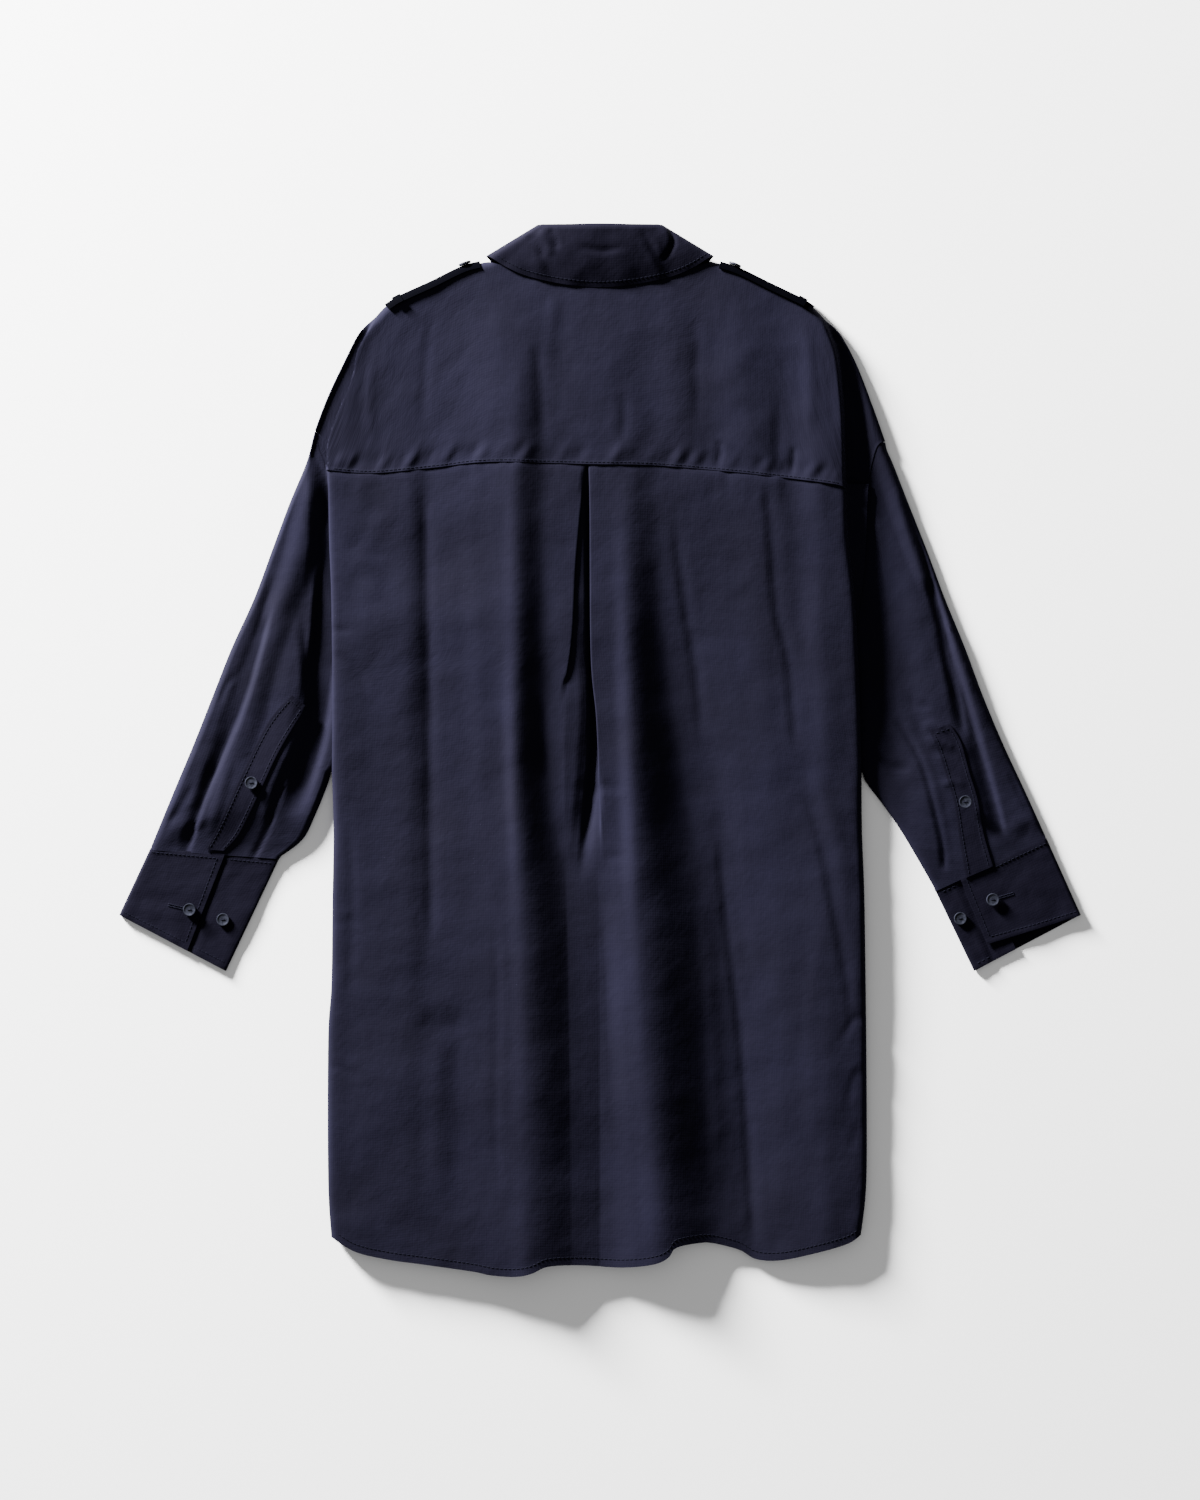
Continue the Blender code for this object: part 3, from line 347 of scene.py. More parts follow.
def total(parts: Iterable[Fold | Crease], x: Array, y: Array) -> Array:
    """What several folds or creases add together."""
    return sum((part.at(x, y) for part in parts), np.zeros(np.broadcast(x, y).shape))


# ---- the cut: outlines and folds of each panel, x, y from top to bottom or from left to right


@dataclass(frozen=True)
class SideCut:
    """The outlines of one side of the garment as it lies."""

    shoulder: Line
    strip: Line
    armhole: Line
    flank: Line
    roll: Line
    sleeve_outer: Line
    sleeve_inner: Line

    @property
    def yoke_armhole(self) -> Array:
        """The part of the armhole line that belongs to the yoke, its first two spans."""
        return smooth_line(self.armhole)[: 2 * SPAN_STEPS + 1]

    @property
    def rim(self) -> Array:
        """The garment's edge from the neck to the armhole, as the yoke and the front have it."""
        return join_lines(self.shoulder, self.strip)


CUT = {
    Side.LEFT: SideCut(
        shoulder=((-101, 911), (-122, 906), (-151, 892), (-187, 875), (-202, 861)),
        strip=((-202, 861), (-216, 848), (-230, 821), (-245, 789), (-256, 760)),
        armhole=((-256, 760), (-251, 740), (-246, 724), (-236, 643), (-227, 540), (-231, 484), (-240.5, 452)),
        flank=((-240.5, 452), (-239, 400), (-240, 338), (-241, 262), (-244, 212), (-244, 86), (-241, 35)),
        roll=(
            (-202, 858), (-217, 832), (-222, 808), (-233, 780), (-242, 757), (-245, 740), (-244, 724),
            (-243, 662), (-241, 608), (-240, 518), (-240.5, 452)),
        sleeve_outer=(
            (-256, 760), (-258, 752), (-264, 730), (-279, 694), (-295, 651), (-311, 608), (-331, 564),
            (-348, 521), (-365, 478), (-383, 435), (-404, 384)),
        sleeve_inner=((-242.4, 452), (-246, 440), (-257, 413), (-268, 392), (-289, 376)),
    ),
    Side.RIGHT: SideCut(
        shoulder=((101, 911), (122, 905), (151, 891), (187, 873), (203, 858)),
        strip=((203, 858), (216, 846), (230, 820), (245, 781), (256, 750)),
        armhole=((256, 750), (248, 743), (241, 707), (237, 630), (224, 540), (225, 484), (234.5, 452)),
        flank=((234.5, 452), (235, 400), (237, 346), (238, 284), (239, 194), (239, 86), (234, 37)),
        roll=(
            (203, 855), (213, 828), (218, 790), (220, 750), (221, 707), (223, 662), (229, 606), (233, 518),
            (234.5, 452)),
        sleeve_outer=(
            (256, 750), (258, 741), (263, 730), (277, 694), (294, 651), (310, 608), (328, 564), (344, 521),
            (362, 478), (382, 435), (401, 393)),
        sleeve_inner=((236.4, 452), (240, 443), (256, 422), (273, 397), (302, 347)),
    ),
}
NECK_BACK: Line = ((-101, 911), (-70, 905), (0, 902), (70, 905), (101, 911))
NECK_FRONT: Line = ((-101, 911), (-94, 896), (-72, 850), (-46, 800), (-17, 765))
YOKE_SEAM: Line = (
    (-246, 724), (-204, 721), (-149, 726), (-98, 731), (-11, 729), (47, 728), (108, 723),
    (147, 719), (210, 711), (221, 707), (241, 707))
HEM: Line = (
    (-241, 35), (-220, 22), (-191, 15), (-162, 11), (-133, 7), (-112, 4), (-97, 1), (-76, 0),
    (-61, 3), (-47, 9), (-18, 10), (18, 8), (47, 11), (61, 17), (68, 26), (90, 30), (104, 29),
    (126, 23), (140, 15), (162, 14), (191, 20), (222, 29), (234, 37))
PLEAT_LEFT: Line = (
    (-12, 731), (-16, 703), (-22, 639), (-25, 578), (-30.5, 543), (-36, 522), (-38, 430), (-34, 200),
    (-32, 0))
PLEAT_RIGHT: Line = ((-10, 729), (-9, 688), (-8, 559), (-3, 500), (0, 430), (4, 370), (6, 200), (6, 0))
# Height and level of the back's sides where they are sewn, from the yoke down
LOW_EDGE: Line = (
    (724, 8.2), (705, 6.8), (680, 5.6), (600, 5.4), (480, 5.4), (455, 5.0), (436, SIDE_SEAM_LEVEL),
    (0, SIDE_SEAM_LEVEL))

RELIEF_HEIGHTS = (905, 850, 787, 697, 643, 590, 535, 481, 427, 373, 319, 265, 211, 157, 103, 49, 0)


@dataclass(frozen=True)
class ReliefLine:
    """A crest or a foot that runs down the back: its x and its level at given heights."""

    xs: tuple[float, ...]
    levels: tuple[float, ...]
    heights: tuple[float, ...] = RELIEF_HEIGHTS

    def smooth(self) -> Array:
        """The line as a curve of height, x and level."""
        return smooth_line(tuple(zip(self.heights, self.xs, self.levels)))


# From the left side to the right one
BACK_RELIEF = tuple(ReliefLine(*row) for row in (
    # the left rolled side
    ((-231, -231, -231, -231),
     (9.5, 10.5, 10.5, 9.5),
     (905, 787, 400, 0)),
    # level panel inside it
    ((-205, -205, -205, -205, -204, -205, -205, -205, -205, -205, -205),
     (9.5, 9.5, 10.8, 9.8, 12, 10.2, 10, 11.2, 11, 10, 9),
     (905, 787, 697, 643, 590, 535, 427, 319, 157, 49, 0)),
    # soft crest left of the long crease
    ((-176, -175, -173, -173, -173, -173, -173, -173, -172, -172, -172, -173, -173, -173, -173),
     (9.5, 9.6, 11.2, 10.4, 12.8, 11.4, 10.8, 10.6, 11.8, 12.2, 12.6, 12.4, 11.6, 10.8, 9.8),
     (905, 787, 697, 643, 590, 535, 481, 427, 373, 319, 211, 157, 103, 49, 0)),
    # the long crease
    ((-150, -152, -156, -156, -155, -154, -154, -154, -154, -154, -154, -154, -154, -154, -154),
     (9.8, 9.8, 10, 9, 11.2, 9.6, 9.2, 9.2, 10.6, 11.2, 12, 12, 11, 11, 10),
     (905, 787, 697, 643, 590, 535, 481, 427, 373, 319, 211, 157, 103, 49, 0)),
    # panel right of it
    ((-118, -124, -130, -130, -130, -130, -130, -130, -130, -130, -130, -130, -130, -130, -130, -130),
     (10, 11, 11.6, 10.6, 12.6, 11, 10.4, 10, 11.4, 11.8, 12.2, 11, 11.6, 10.8, 11.6, 10.4),
     (905, 787, 697, 643, 590, 535, 481, 427, 373, 319, 265, 211, 157, 103, 49, 0)),
    # shoulder of the tall left ridge
    ((-80, -84, -88, -88, -88, -88, -88, -88, -86, -84, -83, -82, -82, -82, -82, -82, -82),
     (10.4, 13, 14.6, 14.8, 14.6, 16.2, 14.8, 13.6, 13.6, 15, 15.6, 16, 15.8, 16, 15, 14.8, 14)),
    # crest of the tall left ridge
    ((-66, -70, -74, -76, -76, -76, -76, -76, -75, -72, -69, -67, -66, -65, -64, -64, -64),
     (10.5, 13, 15.4, 16.2, 16.6, 17.8, 17.4, 17, 17, 17.6, 17.6, 18.2, 17.8, 18, 16.6, 17, 16.4)),
    # foot of the ridge
    ((-38, -42, -46, -49, -49, -49, -48, -47, -43, -33, -22, -15, -12, -9, -4, -3, -3),
     (10.5, 12.4, 12.8, 12.9, 12.1, 12, 10.8, 9.7, 9, 8.4, 8.2, 8.4, 8.4, 8.6, 8.4, 9, 9.4)),
    # beside the pleat's left fold
    ((-14, -14, -14, -22, -26, -28, -28, -27, -18, -8, 0, 4, 6, 8, 10, 11, 11),
     (10.6, 12.8, 13.6, 13.2, 12.6, 12.8, 12, 11.4, 10.8, 9.8, 9.2, 9.4, 9.2, 9.6, 9.4, 10, 10.4)),
    # beside the pleat's right fold
    ((8, 8, 8, 10, 10, 11, 12, 14, 16, 18, 20, 22, 24, 28, 32, 33, 33),
     (10.6, 12.8, 14, 13.6, 13, 13.2, 12.8, 12.6, 12.4, 12.8, 14, 14.4, 14, 14.2, 12.8, 14, 14)),
    # crest of the ridge right of the pleat
    ((20, 22, 22, 24, 24, 24, 26, 28, 30, 32, 34, 37, 41, 46, 51, 54, 55),
     (10.6, 12.6, 13.4, 14.2, 14.2, 15, 15.4, 15.8, 16.4, 17, 16.6, 17.2, 16.8, 17.2, 16, 16.8,
      16.2)),
    # foot of that ridge, the trough's left side
    ((44, 46, 47, 54, 55, 57, 63, 71, 80, 90, 98, 104, 106, 107, 108, 110, 110),
     (10.5, 12, 12.2, 11.6, 10, 8.4, 6.2, 4.8, 3.9, 4.2, 4.4, 4.2, 4, 4.4, 4, 5.6, 6.4)),
    # bottom of the wide trough
    ((62, 66, 68, 76, 80, 84, 90, 96, 103, 111, 119, 125, 127, 129, 129, 133, 133),
     (10.4, 12, 12.8, 11.6, 9.8, 8.2, 6.6, 5.2, 4.2, 3.6, 3.6, 3.4, 3.2, 3.6, 3.2, 4.8, 5.4)),
    # the trough's right side
    ((88, 92, 97, 108, 112, 116, 122, 126, 130, 134, 140, 146, 148, 150, 150, 152, 152),
     (10.2, 11.4, 11.6, 12, 10.8, 9.8, 8.8, 8, 7.2, 6.4, 5.8, 5.6, 5.4, 5.8, 5.4, 6.8, 7)),
    # rise to the right panel
    ((118, 124, 130, 146, 148, 150, 152, 154, 156, 158, 162, 165, 167, 167, 167, 168, 168),
     (10, 12, 13, 12.8, 11.8, 11.2, 10.8, 10.2, 9.2, 8.6, 8.2, 8, 7.6, 7.8, 7.4, 8.2, 8)),
    # right panel
    ((160, 162, 167, 172, 174, 176, 178, 182, 184, 186, 187, 188, 188, 188, 188, 188, 188),
     (9.8, 10.6, 11, 12, 11.4, 11, 10.8, 10.6, 9.6, 9.6, 9.8, 9.6, 9.2, 9.2, 8.8, 9.4, 8.8)),
    # level panel inside the right side
    ((196, 196, 196, 200, 200, 200, 202, 204, 206, 206, 206, 206, 206, 206, 206, 206),
     (9.6, 11.5, 13, 14.2, 13.8, 13.6, 13, 12.4, 11, 10.6, 11, 10.6, 10.6, 10, 10.4, 9.6),
     (905, 850, 787, 697, 643, 590, 535, 481, 427, 373, 319, 211, 157, 103, 49, 0)),
    # the right rolled side
    ((228, 222, 224, 224, 225, 226, 227),
     (9.5, 13, 13.6, 13.4, 12, 11, 9.6),
     (905, 787, 697, 590, 500, 400, 0)),
))

# The pleat's underlay sinks beside the right fold
PLEAT_POCKET = (
    Fold(-4, 7, 12, 60, 90, ((-11, 725), (-8, 643), (-6, 571), (-5, 535), (-4, 499), (-5, 463), (-8, 430),
                             (-12, 395), (-17, 350))),
    Fold(-2, 13, 10, 120, 80, ((-9, 640), (-8, 571), (-7, 535), (-7, 499), (-9, 463), (-12, 430), (-15, 395),
                               (-20, 350))),
)

# Creases of the body, from the left side to the right
BODY_CREASES = tuple(Crease(*row) for row in (
    (-1, 9, ((-158, 716), (-156, 620), (-154, 530), (-153, 373), (-152, 300)), 0.7, 0.2, 0.12),
    (0.55, 14, ((-192, 690), (-206, 660), (-222, 628)), 0.3),
    (0.67, 15, ((-206, 650), (-204, 628), (-205, 606)), 0.1),
    (-0.59, 6, ((-246, 584), (-236, 580), (-224, 581)), 0.7),
    (-0.42, 8, ((-243, 560), (-222, 548), (-205, 520)), 0.5),
    (0.5, 16, ((-120, 700), (-110, 600), (-106, 480), (-104, 360)), 0.2),
    (-0.67, 10, ((-52, 520), (-51, 480), (-49, 440)), 0.6),
    (-0.76, 17, ((-162, 234), (-140, 226), (-118, 230)), 0.2),
    (0.76, 18, ((-140, 224), (-146, 160), (-144, 60)), 0.1),
    (-0.5, 7, ((-96, 330), (-92, 250), (-94, 160), (-90, 60)), 0.5),
    (-0.63, 9, ((-12, 434), (6, 440), (20, 434)), 0.5),
    (-0.55, 8, ((4, 372), (12, 378), (20, 372)), 0.5),
    (-0.92, 9, ((66, 690), (74, 620), (86, 540), (92, 470)), 0.5, 0.2),
    (-0.84, 7, ((106, 400), (112, 330), (126, 209), (134, 90), (138, 28)), 0.7, 0.3, 0.15),
    (0.55, 10, ((92, 360), (100, 250), (104, 150), (106, 40)), 0.3),
    (-1, 9, ((148, 716), (153, 668), (158, 598), (169, 553), (172, 514), (176, 470)), 0.7, 0.3, 0.12),
    (-0.84, 9, ((178, 450), (198, 389), (210, 328), (222, 260), (228, 200)), 0.6, 0.3),
    (0.59, 12, ((190, 460), (212, 400), (224, 330)), 0.3),
    (-0.55, 6, ((240, 238), (226, 228), (214, 206)), 0.6),
    (-0.55, 6, ((240, 196), (228, 178), (222, 150)), 0.6),
    (-0.46, 6, ((240, 150), (230, 132), (226, 110)), 0.6),
    (0.42, 12, ((196, 330), (190, 220), (192, 100)), 0.2),
    (-0.46, 8, ((-226, 420), (-222, 330), (-226, 240)), 0.5),
    (-0.42, 7, ((-246, 330), (-232, 318), (-214, 322)), 0.5),
    (-0.42, 7, ((-246, 190), (-230, 186), (-214, 176)), 0.5),
))
YOKE_CREASES = tuple(Crease(*row) for row in (
    (0.59, 10, ((-40, 884), (-44, 850), (-48, 800)), 0.3),
    (-0.67, 9, ((-56, 842), (-54, 800), (-52, 745)), 0.4),
    (-0.63, 8, ((20, 795), (22, 770), (19, 745)), 0.5),
    (-0.59, 9, ((86, 862), (87, 810), (88, 760)), 0.5),
    (-0.55, 9, ((159, 790), (160, 750), (158, 726)), 0.5),
    (0.55, 9, ((185, 850), (188, 800), (189, 750)), 0.3),
    (-0.5, 8, ((-150, 870), (-156, 820), (-160, 760)), 0.4),
    (0.42, 8, ((-204, 830), (-207, 790), (-206, 750)), 0.3),
    (-0.84, 5, ((104, 722), (108, 738), (107, 752)), 0.6),
    (-0.84, 5, ((170, 716), (174, 732), (173, 746)), 0.6),
))

# The leaf's fold line toward its right point, and the puckers toward its left one
COLLAR_CREASES = tuple(Crease(*row) for row in (
    (-1.7, 4, ((60, 941), (65, 932), (63, 922), (54, 910)), 0.7, 0.3, 0.2),
    (-1.3, 4, ((-66, 936), (-57, 925), (-50, 912)), 0.6),
    (1.1, 5, ((-55, 940), (-48, 928), (-43, 914)), 0.5),
    (-1.1, 3.5, ((-46, 940), (-40, 931), (-38, 921)), 0.6),
    (-0.8, 5, ((-20, 925), (0, 920), (24, 924)), 0.4),
))

SLEEVE_FOLDS = {
    Side.LEFT: (
        Fold(2.2, 16, 18, 70, 150, (
            (-249, 748), (-257, 708), (-269, 655), (-285, 605), (-301, 560),
            (-315, 510), (-340, 420), (-352, 370))),
        Fold(-4.6, 18, 12, 20, 90, (
            (-208, 862), (-225, 828), (-229, 811), (-238, 780), (-248, 758), (-250, 742), (-247, 724),
            (-244, 680), (-242, 620), (-242, 560), (-246, 500))),
        Fold(-5.6, 15, 15, 60, 60, (
            (-242, 640), (-246, 590), (-249, 550), (-251, 515), (-258, 478), (-269, 440), (-281, 400))),
        Fold(2.6, 44, 9, 60, 60, (
            (-275, 590), (-271, 545), (-270, 512), (-283, 470), (-298, 434), (-310, 390))),
    ),
    Side.RIGHT: (
        Fold(2.0, 15, 16, 8, 200, (
            (214, 843), (240, 788), (252, 745), (266, 706), (282, 660), (297, 622), (314, 575),
            (330, 530), (352, 460), (372, 400), (376, 370))),
        Fold(-2.4, 12, 18, 20, 120, (
            (210, 858), (221, 822), (227, 766), (230, 707), (236, 661), (242, 606), (247, 545), (250, 500))),
        Fold(-2.4, 22, 40, 90, 70, (
            (236, 690), (240, 650), (247, 600), (254, 545), (262, 500), (272, 460), (286, 420))),
        Fold(0.9, 34, 12, 60, 1, ((262, 530), (282, 480), (300, 420), (308, 340))),
    ),
}
SLEEVE_CREASES = {
    Side.LEFT: tuple(Crease(*row) for row in (
        (-2.6, 7, ((-296, 600), (-306, 562), (-316, 526), (-331, 487), (-349, 446), (-363, 409),
                         (-374, 372)), 0.6, -0.45, 0.12),
        (-0.8, 9, ((-292, 630), (-312, 570), (-336, 500), (-360, 430)), 0.4, 0.2, 0.15),
        (-1.3, 5, ((-312, 374), (-299, 399), (-291, 421), (-284, 442)), 0.8, 0.4, 0.1),
        (1.0, 12, ((-404, 378), (-384, 399), (-360, 410), (-352, 404)), 0.3),
        (-0.9, 8, ((-262, 700), (-256, 660), (-262, 600)), 0.4),
        (-0.84, 7, ((-246, 610), (-262, 540), (-280, 470)), 0.5),
        (0.84, 8, ((-330, 470), (-342, 432), (-352, 392)), 0.3),
        (-0.84, 6, ((-252, 470), (-268, 452), (-284, 446)), 0.5),
        (-0.7, 6, ((-390, 404), (-378, 420), (-362, 448)), 0.5),
        (-0.7, 5, ((-322, 545), (-336, 530), (-342, 512)), 0.5),
    )),
    Side.RIGHT: tuple(Crease(*row) for row in (
        (-3.3, 9, ((294, 628), (307, 592), (316, 562), (325, 533), (338, 488), (352, 436), (364, 390)),
               0.6, -0.5, 0.1),
        (-2.3, 7, ((272, 708), (291, 650), (306, 598), (313, 565), (321, 520), (328, 480)),
               0.7, -0.35, 0.12),
        (-1.2, 5, ((264, 500), (279, 480), (291, 455), (300, 421), (307, 389), (309, 362)),
               0.8, 0.2, 0.1),
        (0.9, 12, ((366, 394), (384, 410), (402, 400)), 0.3),
        (-1.0, 5, ((288, 662), (300, 624), (312, 596), (327, 574)), 0.6, -0.3, 0.15),
        (-0.91, 8, ((240, 640), (250, 570), (266, 500)), 0.4),
        (-0.84, 6, ((246, 470), (262, 458), (280, 456)), 0.5),
        (-0.7, 6, ((390, 410), (380, 430), (366, 462)), 0.5),
        (-0.7, 5, ((277, 520), (286, 512), (300, 514)), 0.6),
        (0.9, 3.5, ((288, 492), (300, 496), (314, 488)), 0.5),
        (0.9, 3.5, ((292, 478), (306, 480), (320, 474)), 0.5),
        (-0.8, 4, ((296, 470), (310, 470), (322, 466)), 0.5),
        (0.8, 4, ((306, 440), (318, 444), (330, 440)), 0.5),
    )),
}


def back_height(x: Array, y: Array) -> Array:
    """Middle of the back's cloth before its finer creases, over the yoke and the body.

    Args:
        x: places across.
        y: places along.

    Returns:
        Heights on a smooth surface through the lines of BACK_RELIEF, level on their crests and feet.
    """
    x, y = np.broadcast_arrays(np.asarray(x, float), np.asarray(y, float))
    lines = [line.smooth() for line in BACK_RELIEF]
    at = np.stack([np.interp(-y, -line[:, 0], line[:, 1]) for line in lines])
    level = np.stack([np.interp(-y, -line[:, 0], line[:, 2]) for line in lines])
    gaps = np.diff(at, axis=0)
    slopes = np.diff(level, axis=0) / gaps
    product = slopes[:-1] * slopes[1:]
    both = slopes[:-1] + slopes[1:]
    shared = np.where(product > 0, 2 * product / np.where(product > 0, both, 1), 0)
    none = np.zeros_like(level[:1])
    tangents = np.concatenate([none, shared, none])
    span = np.clip((at <= x).sum(0) - 1, 0, len(lines) - 2)[None]

    def pick(values: Array, step: int = 0) -> Array:
        """The value on a place's left line, or with step 1 on its right line."""
        return np.take_along_axis(values, span + step, axis=0)[0]

    gap = pick(gaps)
    t = np.clip((x - pick(at)) / gap, 0, 1)
    start, end = 2 * t**3 - 3 * t**2 + 1, 3 * t**2 - 2 * t**3
    lean = (t**3 - 2 * t**2 + t) * pick(tangents) + (t**3 - t**2) * pick(tangents, 1)
    return start * pick(level) + end * pick(level, 1) + lean * gap


def sleeve_height(x: Array, y: Array, side: Side) -> Array:
    """Middle of a sleeve's upper layer before its finer creases."""
    pressed, puff_length, swell_top, swell_length, lowest = 0.1, 42, 756, 60, 2.0
    seam = np.array([CUT[side].sleeve_outer[-1], CUT[side].sleeve_inner[-1]], float)
    to_cuff = y - np.interp(x * -side.inward, np.sort(seam[:, 0] * -side.inward), np.sort(seam[:, 1]))
    puffed = pressed + (1 - pressed) * ease(to_cuff / puff_length)
    swell = SLEEVE_SWELL[side] * (ease((swell_top - y) / swell_length) if side is Side.LEFT else 1)
    return np.maximum(SLEEVE_LEVEL + (swell + total(SLEEVE_FOLDS[side], x, y)) * puffed, lowest)


def past_roll(x: Array, y: Array, side: Side) -> Array:
    """How far a place lies inward of the yoke's rolled side."""
    return (x - x_at(smooth_line(CUT[side].roll), y)) * side.inward + ROLL_OUT[side]


def yoke_height(x: Array, y: Array) -> Array:
    """The yoke: the back inside the valleys, the sleeves' strips outside them, a rolled shoulder."""
    height = back_height(x, y)
    valley_top, valley_fade = 872, 30
    for side in Side:
        inside = ease(past_roll(x, y, side) / VALLEY_WALL[side] + 0.5)
        outside = (1 - inside) * ease((valley_top - y) / valley_fade)
        height = height * (1 - outside) + sleeve_height(x, y, side) * outside
    rims = [nearest(cut.rim, x, y)[0] for cut in CUT.values()]
    return SHOULDER_LEVEL + (height - SHOULDER_LEVEL) * round_edge(np.minimum(*rims), SHOULDER_ROLL)


# ---- meshes


def deselect() -> None:
    """Selects nothing, so that an operator acts on the new piece alone."""
    bpy.ops.object.select_all(action="DESELECT")


def pick_up(piece: Object) -> None:
    """Selects one piece and makes it the active one."""
    deselect()
    piece.select_set(True)
    bpy.context.view_layer.objects.active = piece


def apply_modifiers(piece: Object) -> None:
    """Applies a piece's modifiers in their order."""
    pick_up(piece)
    for modifier in list(piece.modifiers):
        bpy.ops.object.modifier_apply(modifier=modifier.name)


def new_piece(name: str, mesh: Mesh) -> Object:
    """Puts a finished mesh in the scene as an object."""
    piece = bpy.data.objects.new(name, mesh)
    bpy.context.scene.collection.objects.link(piece)
    return piece


def cylinder(radius: float, depth: float, sides: int, lift: float = 0.0, lying: bool = False) -> Object:
    """Adds a cylinder, sized in millimetres.

    Args:
        radius: its radius.
        depth: its length.
        sides: how many it has.
        lift: height of its middle.
        lying: whether it runs along X, and not up.

    Returns:
        The cylinder, selected.
    """
    deselect()
    bpy.ops.mesh.primitive_cylinder_add(
        vertices=sides, radius=radius * MM, depth=depth * MM, location=(0, 0, lift * MM),
        rotation=(0, math.pi / 2 if lying else 0, 0))
    bpy.ops.object.transform_apply(location=True, rotation=True, scale=True)
    return bpy.context.object


def round_edges(piece: Object, width: float, segments: int, sharper_than: float = 30) -> None:
    """Rounds a piece's edges.

    Args:
        piece: the piece.
        width: width of the bevel.
        segments: its steps.
        sharper_than: the angle in degrees over which an edge is rounded.
    """
    bevel = piece.modifiers.new("Round edges", "BEVEL")
    bevel.width = width * MM
    bevel.segments = segments
    bevel.limit_method = "ANGLE"
    bevel.angle_limit = math.radians(sharper_than)
    apply_modifiers(piece)


@contextmanager
def face_editing(piece: Object, chosen: Iterable[bool] | None = None) -> Iterator[None]:
    """Edit mode on the active piece, with all its faces selected or the chosen ones.

    Args:
        piece: the active piece.
        chosen: whether each face is selected, or None for all.
    """
    bpy.ops.object.mode_set(mode="EDIT")
    bpy.ops.mesh.select_mode(type="FACE")
    bpy.ops.mesh.select_all(action="SELECT" if chosen is None else "DESELECT")
    if chosen is not None:
        bpy.ops.object.mode_set(mode="OBJECT")
        piece.data.polygons.foreach_set("select", list(chosen))
        bpy.ops.object.mode_set(mode="EDIT")
    yield
    bpy.ops.object.mode_set(mode="OBJECT")


def to_frame(points: Array) -> Array:
    """Points in the garment's millimetres as points in the frame's metres."""
    return (points - np.array([0, MIDDLE_Y, 0])) * MM


def patch(top: Array, bottom: Array, left: Array, right: Array, across: Array, down: Array) -> Array:
    """Plan points of a four-sided panel, blended between its four edges.

    Args:
        top: upper edge, from left to right.
        bottom: lower edge, from left to right.
        left: left edge, from top to bottom.
        right: right edge, from top to bottom.
        across: shares of the upper and lower edges' lengths.
        down: shares of the side edges' lengths.

    Returns:
        Rows by columns of x, y.
    """
    u, v = across[None, :, None], down[:, None, None]
    high, low = along(top, across)[None], along(bottom, across)[None]
    near, far = along(left, down)[:, None], along(right, down)[:, None]
    upper_corners = (1 - u) * high[:, :1] + u * high[:, -1:]
    lower_corners = (1 - u) * low[:, :1] + u * low[:, -1:]
    corners = (1 - v) * upper_corners + v * lower_corners
    return (1 - v) * high + v * low + (1 - u) * near + u * far - corners


def with_height(plan: Array, height: Array) -> Array:
    """Plan points and their heights as one array of points."""
    return np.concatenate([plan, np.broadcast_to(height, plan.shape[:2])[..., None]], axis=-1)


def refine(points: Array, steps: int, axis: int = 0) -> Array:
    """Sets more points between given ones, on a smooth curve that doesn't overshoot short spans.

    Args:
        points: an array whose last axis is x, y, z or the like.
        steps: how many points each span becomes.
        axis: the axis along which the curve runs.

    Returns:
        The finer array.
    """
    p = np.moveaxis(np.asarray(points, float), axis, 0)
    gaps = np.maximum(np.sqrt(np.sqrt((np.diff(p, axis=0) ** 2).sum(-1, keepdims=True))), 1e-3)
    slopes = np.diff(p, axis=0) / gaps
    tangents = np.empty_like(p)
    tangents[0], tangents[-1] = slopes[0], slopes[-1]
    before, after = gaps[:-1], gaps[1:]
    tangents[1:-1] = (slopes[:-1] * after + slopes[1:] * before) / (before + after)
    finer = []
    for t in np.linspace(0, 1, steps, endpoint=False):
        start, end = 2 * t**3 - 3 * t**2 + 1, -2 * t**3 + 3 * t**2
        lean_start, lean_end = t**3 - 2 * t**2 + t, t**3 - t**2
        finer.append(
            start * p[:-1] + end * p[1:] + (lean_start * tangents[:-1] + lean_end * tangents[1:]) * gaps)
    spans = np.stack(finer, axis=1).reshape(-1, *p.shape[1:])
    return np.moveaxis(np.concatenate([spans, p[-1:]]), 0, axis)


def warped(count: int, gather: float) -> Array:
    """Shares from 0 to 1 that stand closer together near both ends."""
    t = np.linspace(0, 1, count)
    return t - gather * np.sin(2 * math.pi * t) / (2 * math.pi)


